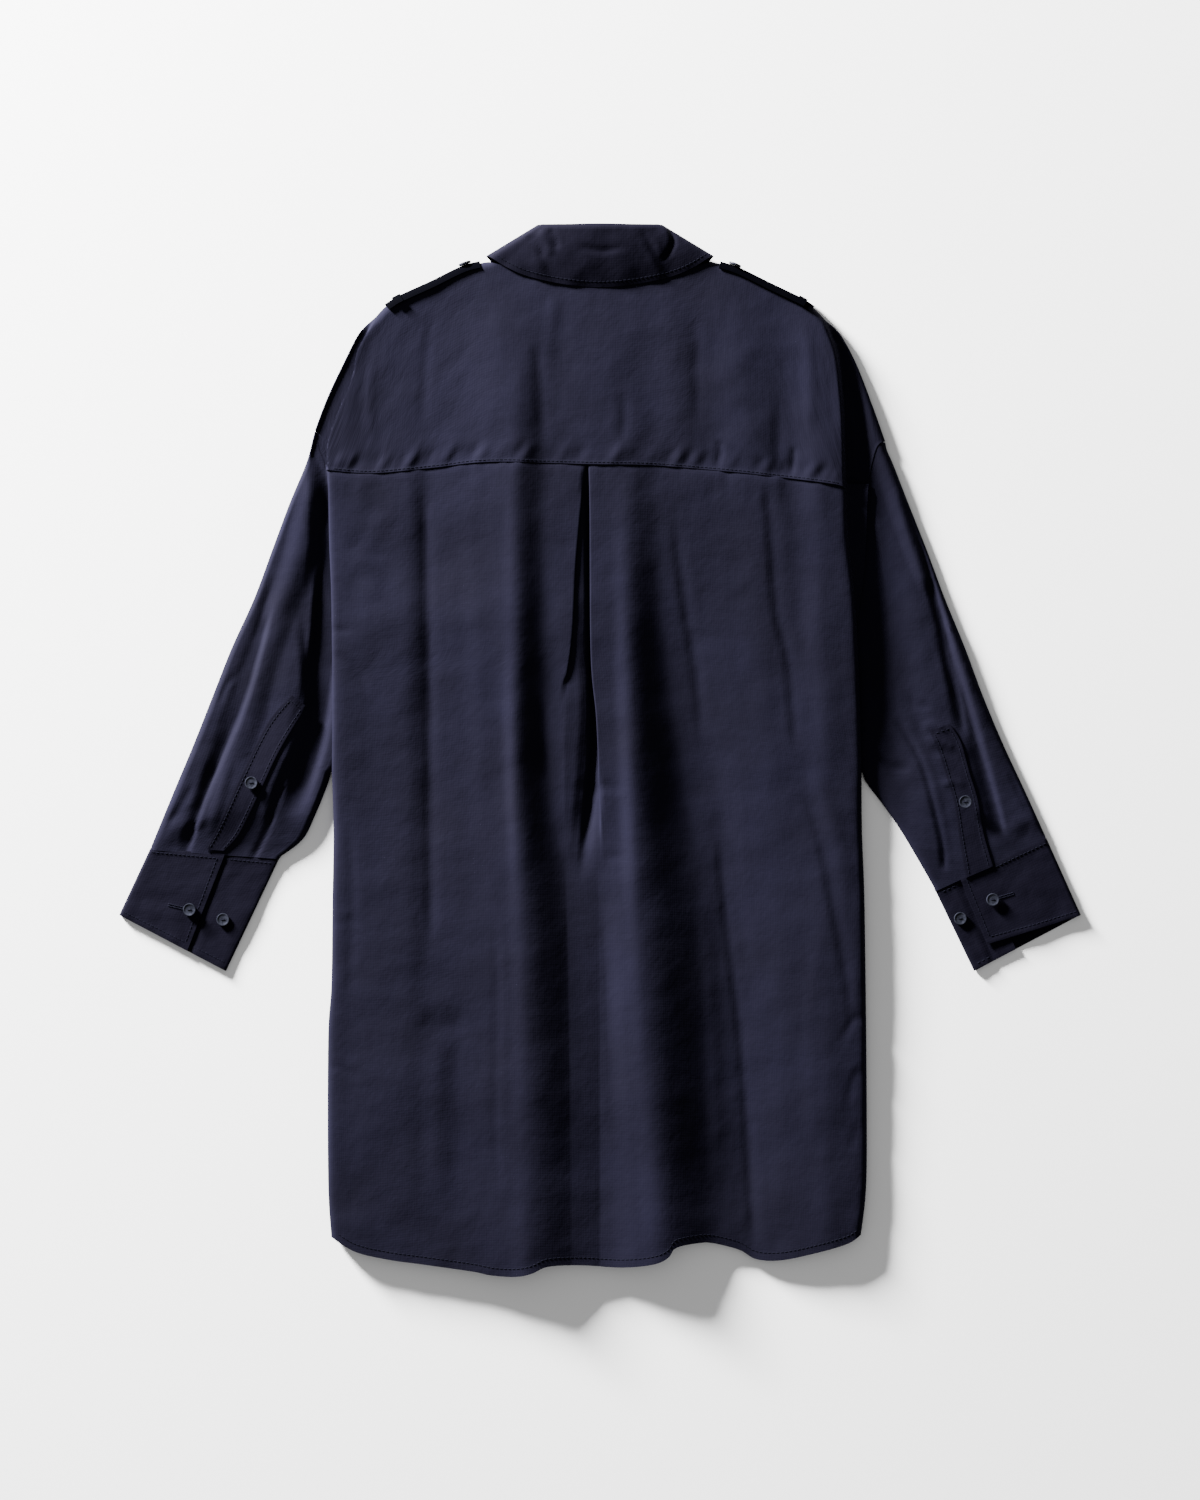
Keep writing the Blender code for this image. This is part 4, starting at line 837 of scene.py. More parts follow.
@dataclass(frozen=True)
class Cloth:
    """Makes a sheet of cloth from a grid of points on the middle of its wall."""

    finish: Material
    wall: float = PANEL_WALL
    slot: str = "cloth"

    def weave(
        self, name: str, points: Array, replaces: tuple[str, ...],
        skip: Callable[[Array, Array], Array] | None = None,
    ) -> Object:
        """Lays out one sheet.

        Args:
            name: the piece's name.
            points: rows by columns of x, y, z, rows from top to bottom and columns from left to right.
            replaces: CAD nodes that the piece stands for.
            skip: given the rows and columns of the faces, says which are left out.

        Returns:
            The finished sheet, riding on the garment.
        """
        rows, columns = points.shape[:2]
        points = points.copy()
        points[..., 2] = np.maximum(points[..., 2], self.wall / 2)      # nothing sinks into the surface
        deselect()
        bpy.ops.mesh.primitive_grid_add(x_subdivisions=columns - 1, y_subdivisions=rows - 1, size=2)
        sheet = bpy.context.object
        mesh = sheet.data
        sheet.name = mesh.name = name
        flat = np.empty(len(mesh.vertices) * 3)
        mesh.vertices.foreach_get("co", flat)
        place = flat.reshape(-1, 3)
        row = np.rint((1 - place[:, 1]) / 2 * (rows - 1)).astype(int)
        column = np.rint((place[:, 0] + 1) / 2 * (columns - 1)).astype(int)
        mesh.vertices.foreach_set("co", to_frame(points)[row, column].ravel())
        self._lay_out(mesh, points, row, column)
        if skip:
            faces = np.array([tuple(face.vertices) for face in mesh.polygons])
            with face_editing(sheet, skip(row[faces].min(1), column[faces].min(1))):
                bpy.ops.mesh.delete(type="FACE")
        self._sew_and_thicken(sheet)
        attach(sheet, "root")
        if replaces:
            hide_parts(*replaces)
        log.info("%s: %d faces", name, len(mesh.polygons))
        return sheet

    def _lay_out(self, mesh: Mesh, points: Array, row: Array, column: Array) -> None:
        """Gives the sheet a UV map in metres of cloth, so that the weave follows the grain."""
        across = np.sqrt((np.diff(points, axis=1) ** 2).sum(-1))
        down = np.sqrt((np.diff(points, axis=0) ** 2).sum(-1))
        u = np.concatenate([np.zeros((len(points), 1)), np.cumsum(across, axis=1)], axis=1)
        v = np.concatenate([np.zeros((1, points.shape[1])), np.cumsum(down, axis=0)], axis=0)
        u -= u[:, points.shape[1] // 2][:, None]
        corners = np.empty(len(mesh.loops), int)
        mesh.loops.foreach_get("vertex_index", corners)
        uv = np.stack([u[row, column][corners], -v[row, column][corners]], axis=-1) * MM
        mesh.uv_layers.active.data.foreach_set("uv", uv.ravel())

    def _sew_and_thicken(self, sheet: Object) -> None:
        """Closes touching edges, gives the sheet its wall and its finish."""
        touching, smooth_under = 0.02, 50
        with face_editing(sheet):
            bpy.ops.mesh.remove_doubles(threshold=touching * MM)
        wall = sheet.modifiers.new("Wall", "SOLIDIFY")
        wall.thickness = self.wall * MM
        wall.offset = 0.0
        wall.use_even_offset = False
        wall.use_quality_normals = True
        apply_modifiers(sheet)
        bpy.ops.object.shade_smooth_by_angle(angle=math.radians(smooth_under))
        sheet.data.materials.append(self.finish)


def surface_of(piece: Object) -> BVHTree:
    """A search tree over a finished piece."""
    return BVHTree.FromObject(piece, bpy.context.evaluated_depsgraph_get())


def height_on(surface: BVHTree, x: float, y: float, facing: int = 1) -> float | None:
    """Height of a piece's outermost cloth at a place in plan.

    Args:
        surface: the piece's search tree.
        x: place across, in millimetres.
        y: place along, in millimetres.
        facing: 1 looks from above, -1 from below.

    Returns:
        The height in millimetres, or None beside the piece.
    """
    far = 200 * facing
    start = Vector((x, y - MIDDLE_Y, far)) * MM
    hit = surface.ray_cast(start, Vector((0, 0, -facing)))[0]
    return None if hit is None else hit.z / MM


# ---- finishes


def srgb(code: str) -> tuple[float, float, float, float]:
    """An sRGB hex colour as linear values.

    Args:
        code: six hex digits.

    Returns:
        Red, green, blue and alpha.
    """
    shares = [int(code[i:i + 2], 16) / 255 for i in (0, 2, 4)]
    return (*(s / 12.92 if s <= 0.04045 else ((s + 0.055) / 1.055) ** 2.4 for s in shares), 1.0)


def add_node(
    tree: NodeTree, kind: str, settings: dict | None = None, links: dict | None = None,
) -> Node:
    """Adds a node with its settings and links.

    Args:
        tree: the material's node tree.
        kind: the node's type.
        settings: properties by name, and sockets by name or number.
        links: the sockets that feed it, by input name or number.

    Returns:
        The new node.
    """
    node = tree.nodes.new(kind)
    for name, value in (settings or {}).items():
        if isinstance(name, str) and hasattr(node, name):
            setattr(node, name, value)
        else:
            node.inputs[name].default_value = value
    for name, socket in (links or {}).items():
        tree.links.new(socket, node.inputs[name])
    return node


def new_material(name: str, settings: dict) -> tuple[Material, NodeTree, Node]:
    """A material with only its Principled shader and output.

    Args:
        name: the finish's name.
        settings: the shader's values by socket.

    Returns:
        The material, its tree and its shader.
    """
    material = bpy.data.materials.new(name)
    material.use_nodes = True
    tree = material.node_tree
    shader = tree.nodes["Principled BSDF"]
    for socket, value in settings.items():
        shader.inputs[socket].default_value = value
    return material, tree, shader


def cloudy_tones(
    tree: NodeTree, shader: Node, cloud: Node, dark: tuple[float, str], light: tuple[float, str],
) -> None:
    """Colours a finish by a noise.

    Args:
        tree: the material's tree.
        shader: its shader.
        cloud: the noise.
        dark: where on the noise the dark tone ends, and its hex colour.
        light: where the light tone begins, and its hex colour.
    """
    tone = add_node(tree, "ShaderNodeValToRGB", None, {"Fac": cloud.outputs["Fac"]})
    for stop, (position, colour) in zip(tone.color_ramp.elements, (dark, light)):
        stop.position = position
        stop.color = srgb(colour)
    tree.links.new(tone.outputs["Color"], shader.inputs["Base Color"])


@dataclass(frozen=True)
class CottonPoplin:
    """Tightly woven cotton with a crisp finish: nearly matt, with a cool sheen where light grazes it."""

    colour: str = "0b0a12"
    worn: str = "0e0d17"
    roughness: float = 0.74
    gloss: float = 0.012
    thread_mm: float = 1.1       # the real threads are 0.2 mm apart, too fine for the view

    def material(self, name: str) -> Material:
        """Builds the finish."""
        material, tree, shader = new_material(name, {"Specular IOR Level": self.gloss})
        uv = add_node(tree, "ShaderNodeTexCoord")
        scale = 1 / (self.thread_mm * MM)
        cloudy = add_node(tree, "ShaderNodeTexNoise", {"Scale": 9.0, "Detail": 4.0, "Roughness": 0.6},
                          {"Vector": uv.outputs["Object"]})
        cloudy_tones(tree, shader, cloudy, (0.3, self.colour), (0.75, self.worn))
        rough = add_node(tree, "ShaderNodeMapRange", {
            "From Min": 0.3, "From Max": 0.7,
            "To Min": self.roughness - 0.06, "To Max": self.roughness + 0.07,
        }, {"Value": cloudy.outputs["Fac"]})
        tree.links.new(rough.outputs["Result"], shader.inputs["Roughness"])
        tree.links.new(self._grain(tree, uv, scale), shader.inputs["Normal"])
        return material

    def _grain(self, tree: NodeTree, uv: Node, scale: float) -> NodeSocket:
        """Threads both ways, slubs and the faint crumple of washed cotton, as bumps.

        Args:
            tree: the material's tree.
            uv: its texture coordinates.
            scale: threads for each metre.

        Returns:
            The normal.
        """
        bands_at_one = 6.3           # bands in a unit of a wave texture whose scale is 1
        warp, weft = (
            add_node(tree, "ShaderNodeTexWave", {
                "Scale": scale / bands_at_one, "Distortion": 0.6, "Detail": 1.0, "bands_direction": way,
            }, {"Vector": uv.outputs["UV"]})
            for way in "XY")
        threads = add_node(tree, "ShaderNodeMath", {"operation": "MULTIPLY"},
                           {0: warp.outputs["Fac"], 1: weft.outputs["Fac"]})
        slubs = add_node(tree, "ShaderNodeTexNoise", {"Scale": 420.0, "Detail": 2.0},
                         {"Vector": uv.outputs["UV"]})
        crumple = add_node(tree, "ShaderNodeTexNoise", {"Scale": 46.0, "Detail": 3.0, "Roughness": 0.55},
                           {"Vector": uv.outputs["UV"]})
        fine = add_node(tree, "ShaderNodeBump", {"Strength": 0.25, "Distance": 0.12 * MM},
                        {"Height": threads.outputs["Value"]})
        rough = add_node(tree, "ShaderNodeBump", {"Strength": 0.3, "Distance": 0.2 * MM},
                         {"Height": slubs.outputs["Fac"], "Normal": fine.outputs["Normal"]})
        soft = add_node(tree, "ShaderNodeBump", {"Strength": 0.6, "Distance": 1.0 * MM},
                        {"Height": crumple.outputs["Fac"], "Normal": rough.outputs["Normal"]})
        return soft.outputs["Normal"]


@dataclass(frozen=True)
class SpunThread:
    """Matching polyester sewing thread, twisted, a little glossier than the cloth."""

    colour: str = "090911"

    def material(self, name: str) -> Material:
        """Builds the finish."""
        material, tree, shader = new_material(name, {
            "Base Color": srgb(self.colour), "Roughness": 0.7, "Specular IOR Level": 0.02})
        place = add_node(tree, "ShaderNodeTexCoord")
        twist = add_node(tree, "ShaderNodeTexNoise", {"Scale": 900.0, "Detail": 1.0},
                         {"Vector": place.outputs["Object"]})
        bump = add_node(tree, "ShaderNodeBump", {"Strength": 0.4, "Distance": 0.1 * MM},
                        {"Height": twist.outputs["Fac"]})
        tree.links.new(bump.outputs["Normal"], shader.inputs["Normal"])
        return material


@dataclass(frozen=True)
class CastResin:
    """Polyester button resin, cast and polished: dark navy, with a grey bloom in its swirls."""

    colour: str = "101117"
    swirl: str = "22232b"

    def material(self, name: str) -> Material:
        """Builds the finish."""
        material, tree, shader = new_material(name, {
            "Roughness": 0.38, "IOR": 1.54, "Specular IOR Level": 0.05})
        place = add_node(tree, "ShaderNodeTexCoord")
        cloud = add_node(tree, "ShaderNodeTexNoise", {"Scale": 210.0, "Detail": 3.0, "Distortion": 1.4},
                         {"Vector": place.outputs["Object"]})
        cloudy_tones(tree, shader, cloud, (0.4, self.colour), (0.8, self.swirl))
        return material


@dataclass(frozen=True)
class PaintedBoard:
    """The smooth pale surface that the garment lies on."""

    colour: str = "efefef"

    def material(self, name: str) -> Material:
        """Builds the finish."""
        return new_material(name, {
            "Base Color": srgb(self.colour), "Roughness": 0.9, "Specular IOR Level": 0.1})[0]


@dataclass(frozen=True)
class Finishes:
    """The finishes of all pieces, built once."""

    poplin: Material
    trim: Material
    painted_shade_tab: Material
    thread: Material
    resin: Material

    @classmethod
    def mix(cls) -> Finishes:
        """Builds every finish."""
        # Darker copy of the same poplin for the collar, cuffs, button band and plackets: painted shade, as
        # the cloth itself is no darker.
        painted_shade_trim = CottonPoplin(colour="07060d", worn="090810", roughness=0.72)
        # Near-black copy of the same poplin for the shoulder tabs: painted shade, for the shadow they lie in
        # beside the shoulder roll.
        painted_shade_tab = CottonPoplin(colour="010102", worn="020203", roughness=0.9, gloss=0.0)
        return cls(
            CottonPoplin().material("navy_cotton_poplin"),
            painted_shade_trim.material("painted_shade_trim_poplin"),
            painted_shade_tab.material("painted_shade_tab_poplin"),
            SpunThread().material("navy_sewing_thread"),
            CastResin().material("navy_cast_resin"),
        )


# ---- sewing


@dataclass(frozen=True)
class TopStitch:
    """A row of machine stitches, each a short raised bar of thread."""

    finish: Material
    length: float = 2.6
    gap: float = 1.2
    thickness: float = 0.55      # the real thread is 0.25 mm, too fine for the view

    def pattern(self) -> Object:
        """One stitch, modelled at the origin along X, its underside sunk in the cloth."""
        stitch = cylinder(self.thickness / 2, self.length, sides=6, lying=True)
        round_edges(stitch, self.thickness * 0.3, segments=1, sharper_than=70)
        return stitch

    def sew(self, name: str, surface: BVHTree, rows: list[Array], facing: int = 1) -> Object | None:
        """Sews rows of stitches onto a piece.

        Args:
            name: the stitching's name.
            surface: search tree of the piece.
            rows: lines in plan that the stitches follow.
            facing: 1 on the upper side, -1 on the underside.

        Returns:
            All the stitches as one piece, or None where no row lies on the piece.
        """
        middles, headings = [], []
        for row in rows:
            count = int(length_of(row) / (self.length + self.gap))
            ends = along(row, np.linspace(0, 1, count + 1))
            share = self.length / (self.length + self.gap)
            for start, stop in zip(ends, ends[1:]):
                stop = start + (stop - start) * share
                heights = [height_on(surface, *place, facing) for place in (start, stop)]
                if None in heights or abs(heights[0] - heights[1]) > self.length:
                    continue
                a, b = Vector((*start, heights[0])), Vector((*stop, heights[1]))
                middles.append((a + b) / 2)
                headings.append((b - a).normalized())
        if not middles:
            return None
        return self._repeat(name, middles, headings, facing)

    def _repeat(self, name: str, middles: list[Vector], headings: list[Vector], facing: int) -> Object:
        """Copies the stitch along its rows, as one mesh.

        Args:
            name: the stitching's name.
            middles: where each stitch is, in millimetres.
            headings: which way each runs.
            facing: 1 on the upper side, -1 on the underside.

        Returns:
            The stitching, riding on the garment.
        """
        stitch = self.pattern()
        corners = np.array([vertex.co for vertex in stitch.data.vertices])
        faces = [tuple(face.vertices) for face in stitch.data.polygons]
        bpy.data.objects.remove(stitch)
        places, sides, proud = [], [], 0.1 * self.thickness * facing
        for number, (middle, heading) in enumerate(zip(middles, headings)):
            across = Vector((0, 0, 1)).cross(heading).normalized()
            turn = np.array([heading, across, heading.cross(across)])
            places.append(corners @ turn + to_frame(np.array(middle) + np.array([0, 0, proud])))
            sides += [tuple(index + number * len(corners) for index in face) for face in faces]
        mesh = bpy.data.meshes.new(name)
        mesh.from_pydata(np.vstack(places).tolist(), [], sides)
        mesh.update()
        mesh.materials.append(self.finish)
        piece = new_piece(name, mesh)
        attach(piece, "root")
        log.info("%s: %d stitches", name, len(middles))
        return piece


# ---- the back


@dataclass
class BackBody:
    """The back from the yoke seam to the hem, with its inverted pleat and rolled sides."""

    finishes: Finishes
    rows: int = 240
    left_columns: int = 62
    right_columns: int = 68
    tuck: float = 3.0            # how far the sides are tucked under, below the height tuck_from
    tuck_from: float = 470.0
    furthest_under: float = 4.0
    hem_depth: float = 7.2

    def fine_height(self, x: Array, y: Array) -> Array:
        """Back height with the creases, puckers at the yoke seam and slow unevenness."""
        pucker, pucker_width, pucker_length, seed = 0.5, 7.5, 12, 8
        below_seam = np.maximum(y_at(smooth_line(YOKE_SEAM), x) - y, 0)
        puckers = ripple(x, y * 0.2, pucker_width, seed) * np.exp(-below_seam / pucker_length)
        return back_height(x, y) + total(BODY_CREASES, x, y) + uneven(BODY_WAVES, x, y) + pucker * puckers

    def pleat_columns(self, y: Array, left_x: Array, right_x: Array) -> list[tuple[Array, Array]]:
        """The pleat across the back: both folds and the strip that shows between them.

        Args:
            y: heights at which the columns are wanted.
            left_x: the left fold's edge.
            right_x: the right fold's edge.

        Returns:
            x and height of each column.
        """
        deep = PLEAT_SHALLOW + (PLEAT_DEPTH - PLEAT_SHALLOW) * ease((y - PLEAT_OPENS) / PLEAT_DEEPENS)
        folds = []
        for edge, way, (opens, opened) in ((left_x, 1, LEFT_FOLD_OPENS), (right_x, -1, RIGHT_FOLD_OPENS)):
            closed = np.clip((y - opened) / (opens - opened), 0, 1)
            level = self.fine_height(edge, y) * closed
            drop = ease(closed * 1.6)
            folds.append([
                (x, level + self.fine_height(x, y) * (1 - closed) - below * drop)
                for x, below in self.fold_columns(edge, deep * ease(closed * 1.5), closed, way)
            ])
        left, right = folds[0], folds[1][::-1]
        between = [
            tuple(a * (1 - share) + b * share for a, b in zip(left[-1], right[0]))
            for share in np.linspace(0, 1, BETWEEN_COLUMNS + 2)[1:-1]
        ]
        shown = len(SECOND_BEND)
        pocketed = [(x, z + total(PLEAT_POCKET, x, y)) for x, z in left + between + right[:shown]]
        # While the pleat lies closed, the right fold's own edge isn't drawn down
        opened = ease((PLEAT_OPENS + 20 - y) / 40)
        return pocketed + [(x, z + total(PLEAT_POCKET, x, y) * opened) for x, z in right[shown:]]

    @staticmethod
    def fold_columns(edge: Array, depth: Array, closed: Array, way: int) -> list[tuple[Array, Array]]:
        """Middle of the cloth through one fold: over its edge, back under it, and out again.

        Args:
            edge: the fold's outermost x.
            depth: how far the cloth runs back under it.
            closed: 1 where the cloth lies on itself, 0 where it has opened out flat.
            way: 1 where it comes from the left, -1 where it comes from the right.

        Returns:
            x and the drop below the panel for each column.
        """
        least_turn, open_width = 0.02, 2.0
        turn = np.maximum(math.pi * closed, least_turn)
        radius = (math.pi * PLEAT_BEND + open_width * (1 - closed)) / turn
        deepest = 2 * radius * (1 - np.cos(turn)) + depth * np.sin(turn)
        flatter = np.minimum(1, DEEPEST_FOLD / deepest)
        columns = [
            (radius * np.sin(turn * share), radius * (1 - np.cos(turn * share))) for share in FIRST_BEND]
        second_x = radius * np.sin(turn) + depth * np.cos(turn)
        second_drop = radius * (1 - np.cos(turn)) + depth * np.sin(turn)
        for share in SECOND_BEND:
            rest = turn * (1 - share)
            across = second_x + radius * (np.sin(turn) - np.sin(rest))
            columns.append((across, second_drop + radius * (np.cos(rest) - np.cos(turn))))
        return [(edge + way * (across - PLEAT_BEND), drop * flatter) for across, drop in columns]

    @staticmethod
    def roll_columns(side: Side, edge: Array, end: Array, top: Array, low: Array) -> Array:
        """Side of the back, from the hidden seam out to its rolled edge, on a smooth curve."""
        way, steep_within = side.inward, 5
        middle = (low + top) / 2
        upright = np.clip(1 - np.abs(edge - end) / steep_within, 0, 1)
        controls = np.array([
            (end, low),
            (end + (edge - end) * 0.55, low + (middle - low) * (0.12 + 0.28 * upright)),
            (edge, low + (middle - low) * 0.75),
            (edge + way * 0.6, middle + (top - middle) * 0.45),
            (edge + way * 3.2, middle + (top - middle) * 0.86),
            (edge + way * ROLL_REACH, top),
        ])
        finer = refine(np.moveaxis(controls, 1, -1), 3)
        return np.moveaxis(finer, -1, 1)[:-1]

    def half(self, side: Side, y: Array, pleat: Array) -> tuple[Array, Array]:
        """One side of the back, from the hidden seam to the pleat.

        Args:
            side: which side.
            y: heights at which its columns are wanted.
            pleat: x of the pleat's fold on that side.

        Returns:
            The columns of the roll and those of the panel, each by x and height, from the outside in.
        """
        cut, way = CUT[side], side.inward
        edge = x_at(join_lines(cut.roll, cut.flank), y)
        tucked = self.tuck * ease((self.tuck_from - y) / 40)
        seam = x_at(join_lines(cut.armhole, cut.flank), y) + way * tucked
        seam = edge + way * np.minimum((seam - edge) * way, self.furthest_under)
        low = x_at(np.array(LOW_EDGE)[:, ::-1], y)
        spread = np.linspace(0, 1, self.left_columns if side is Side.LEFT else self.right_columns)[:, None]
        x = (edge + way * ROLL_REACH) * (1 - spread) + (pleat - way * BESIDE_PLEAT) * spread
        panel = np.stack([x, self.fine_height(x, np.broadcast_to(y, x.shape))], axis=1)
        return self.roll_columns(side, edge, seam, panel[0, 1], low), panel

    def section(self, y: Array) -> Array:
        """All columns of the back body.

        Args:
            y: heights at which they are wanted.

        Returns:
            Columns by x and height by the given heights.
        """
        pleat_left, pleat_right = (x_at(smooth_line(line), y) for line in (PLEAT_LEFT, PLEAT_RIGHT))
        left = self.half(Side.LEFT, y, pleat_left)
        right = self.half(Side.RIGHT, y, pleat_right)
        pleat = np.array(self.pleat_columns(y, pleat_left, pleat_right))
        return np.concatenate([*left, pleat, right[1][::-1], right[0][::-1]])

    def build(self) -> Object:
        """Lays out the back body."""
        length = 700
        seam, hem = smooth_line(YOKE_SEAM), smooth_line(HEM)
        heights = np.linspace(738, -2, 460)
        table = self.section(heights)
        shares = np.r_[-SEAM_LAP / length, -SEAM_LAP / 2 / length, np.linspace(0, 1, self.rows)]
        points = np.empty((len(shares), len(table), 3))
        for number, (xs, zs) in enumerate(table):
            y = 720 + (15 - 720) * shares
            for _ in range(4):
                x = np.interp(-y, -heights, xs)
                y = y_at(seam, x) * (1 - shares) + y_at(hem, x) * shares
            points[:, number] = np.column_stack([x, y, np.interp(-y, -heights, zs)])
        at_seam, under_yoke = np.clip(1 - shares / 0.006, 0, 1), np.clip(-shares / 0.004, 0, 1)
        points[..., 2] -= (0.45 * at_seam + 0.8 * under_yoke)[:, None]
        body = Cloth(self.finishes.poplin).weave("back_body_cloth", points, ("back_body",))
        return body

    def dress(self, body: Object, stitch: TopStitch) -> None:
        """Sews the narrow hem."""
        hem_line = smooth_line(HEM) + np.array([0, self.hem_depth])
        stitch.sew("stitching_back_hem", surface_of(body), [hem_line[3:-3]])


@dataclass
class BackYoke:
    """The yoke from shoulder to shoulder, with a valley before each armhole."""

    finishes: Finishes
    rows: int = 84
    columns: int = 232

    def fine_height(self, x: Array, y: Array) -> Array:
        """Yoke height with its creases, the pucker row over the seam and the sewn edge's thickness."""
        calm_side, armhole_rise, sewn_edge = 12, 0.5, 0.2
        gather, gather_width, slant, middle, reach, seed = 1.15, 8, 0.45, 9, 8, 9
        inner = np.ones(np.shape(x))
        for side, cut in CUT.items():
            inner *= ease((x - x_at(smooth_line(cut.roll), y)) * side.inward / calm_side)
        over_seam = y - y_at(smooth_line(YOKE_SEAM), x)
        gathers = gather * ripple(x - slant * over_seam, x * 0, gather_width, seed)
        gathers = gathers * np.exp(-((over_seam - middle) / reach) ** 2)
        fine = total(YOKE_CREASES, x, y) + uneven(YOKE_WAVES, x, y) + gathers
        height = yoke_height(x, y) + fine * inner
        for cut in CUT.values():
            beside = np.abs(x - x_at(smooth_line(cut.armhole), y))
            height = height + armhole_rise * ease((760 - y) / 30) * (1 - ease(beside / 3))
        return height + sewn_edge * (1 - ease((over_seam - 0.5) / 3.5))

    def overhang(self, x: Array, y: Array) -> Array:
        """How far the floor of the left valley is drawn in under the back's rolled side."""
        drawn_in, valley_top, fade = 3.4, 862, 26
        past = past_roll(x, y, Side.LEFT)
        drawn = ease((past + 6) / 4.5) * (1 - ease((past + 0.2) / 1.8))
        above_seam = y - y_at(smooth_line(YOKE_SEAM), x)
        return drawn_in * drawn * ease((valley_top - y) / fade) * ease(above_seam / 8)

    def build(self) -> Object:
        """Lays out the yoke."""
        left, right = CUT[Side.LEFT], CUT[Side.RIGHT]
        top = join_lines(left.strip[::-1], left.shoulder[::-1], NECK_BACK, right.shoulder, right.strip)
        plan = patch(top, smooth_line(YOKE_SEAM), left.yoke_armhole, right.yoke_armhole,
                     warped(self.columns, 0.5), warped(self.rows, 0.45))
        points = with_height(plan, self.fine_height(plan[..., 0], plan[..., 1]))
        points[..., 0] += self.overhang(plan[..., 0], plan[..., 1])
        yoke = Cloth(self.finishes.poplin).weave("back_yoke_cloth", points, ("back_yoke",))
        return yoke

    def dress(self, yoke: Object, stitch: TopStitch) -> None:
        """Topstitches the yoke seam, close to its edge."""
        seam = smooth_line(YOKE_SEAM) + np.array([0, 2.0])
        stitch.sew("stitching_yoke", surface_of(yoke), [seam[2:-2]])


# ---- the fronts


@dataclass
class Front:
    """One front, from shoulder and neck to hem. The left one runs on over the button band."""

    side: Side
    finishes: Finishes
    columns: int = 84
    rows: int = 150

    def height(self, x: Array, y: Array) -> Array:
        """Middle of the front's cloth: on the surface, but for what lies under it."""
        cut = CUT[self.side]
        leaf_middle = smooth_line(((-60, 750), (-66, 790), (-74, 840), (-78, 900)))
        reach, ramp = 36, 16
        rim = nearest(cut.rim, x, y)[0]
        tab = 1 - ease((rim - reach) / ramp)
        leaf = 1 - ease((nearest(leaf_middle, -np.abs(x), y)[0] - reach) / ramp)
        band_level = BAND_LEVEL if self.side is Side.RIGHT else UNDER_BAND_LEVEL
        climb = (band_level - FLOOR_LAYER) * (1 - ease((np.abs(x) - BAND_HALF - FRONT_SHELF) / FRONT_RAMP))
        return FLOOR_LAYER + np.maximum(FRONT_LIFT * np.maximum(tab, leaf), climb)

    def build(self) -> Object:
        """Lays out the front."""
        cut, way = CUT[self.side], self.side.inward
        neck = tuple((x * way, y) for x, y in NECK_FRONT)
        centre = BAND_HALF + (0.3 if self.side is Side.RIGHT else 0)
        corner = [(-14, 763), (centre, 760)] if self.side is Side.LEFT else [(centre, 764)]
        top = np.vstack([join_lines(cut.strip[::-1], cut.shoulder[::-1], neck), corner])
        flank = np.vstack([smooth_line(cut.armhole), smooth_line(cut.flank)])
        hem_xs = np.linspace(cut.flank[-1][0], centre, 60)
        bottom = np.column_stack([hem_xs, y_at(smooth_line(HEM), hem_xs) + FRONT_HEM_RISE])
        opening = np.array([top[-1], bottom[-1]])
        plan = patch(top, bottom, flank, opening, np.linspace(0, 1, self.columns), warped(self.rows, 0.3))
        if self.side is Side.RIGHT:
            plan = plan[:, ::-1]
        points = with_height(plan, self.height(plan[..., 0], plan[..., 1]))
        name = f"front_{self.side}"
        front = Cloth(self.finishes.poplin, wall=FRONT_WALL).weave(f"{name}_cloth", points, (name,))
        return front

    def dress(self, front: Object, stitch: TopStitch) -> None:
        """Sews the hem, on the side that faces the surface."""
        cut = CUT[self.side]
        xs = np.linspace(cut.flank[-1][0] * 0.96, 18.0 * -self.side.inward, 80)
        hem = np.column_stack([xs, y_at(smooth_line(HEM), xs) + FRONT_HEM_RISE + 7])
        stitch.sew(f"stitching_front_hem_{self.side}", surface_of(front), [hem], facing=-1)


@dataclass
class ButtonBand:
    """The band of the right front that carries the buttons."""

    finishes: Finishes

    def build(self) -> Object:
        """Lays out the band and its two stitched edges."""
        ys = np.linspace(763, float(y_at(smooth_line(HEM), 0)) + FRONT_HEM_RISE, 120)
        xs = np.linspace(-BAND_HALF, BAND_HALF, 13)
        plan = np.stack(np.broadcast_arrays(xs[None, :], ys[:, None]), axis=-1)
        edge = np.abs(plan[..., 0]) > BAND_HALF - 2.5
        points = with_height(plan, BAND_LEVEL + 0.12 * edge)
        cloth = Cloth(self.finishes.trim, wall=BAND_WALL, slot="trim_cloth")
        band = cloth.weave("front_band_cloth", points, ("front_placket",))
        return band

    def dress(self, band: Object, stitch: TopStitch) -> None:
        """Sews the band's long edges, on the side that faces the surface."""
        rows = [np.array([(x, 755), (x, 20)]) for x in (-BAND_HALF + 4, BAND_HALF - 4)]
        stitch.sew("stitching_front_band", surface_of(band), rows, facing=-1)


# ---- the collar


@dataclass(frozen=True)
class Station:
    """A section of a strip round the neck: a point on its fold, one on its edge, and the bulge between."""

    fold: Point3
    edge: Point3
    rise: float = 0.0

    def mirrored(self) -> Station:
        """The same section on the wearer's right."""
        return Station((-self.fold[0], *self.fold[1:]), (-self.edge[0], *self.edge[1:]), self.rise)


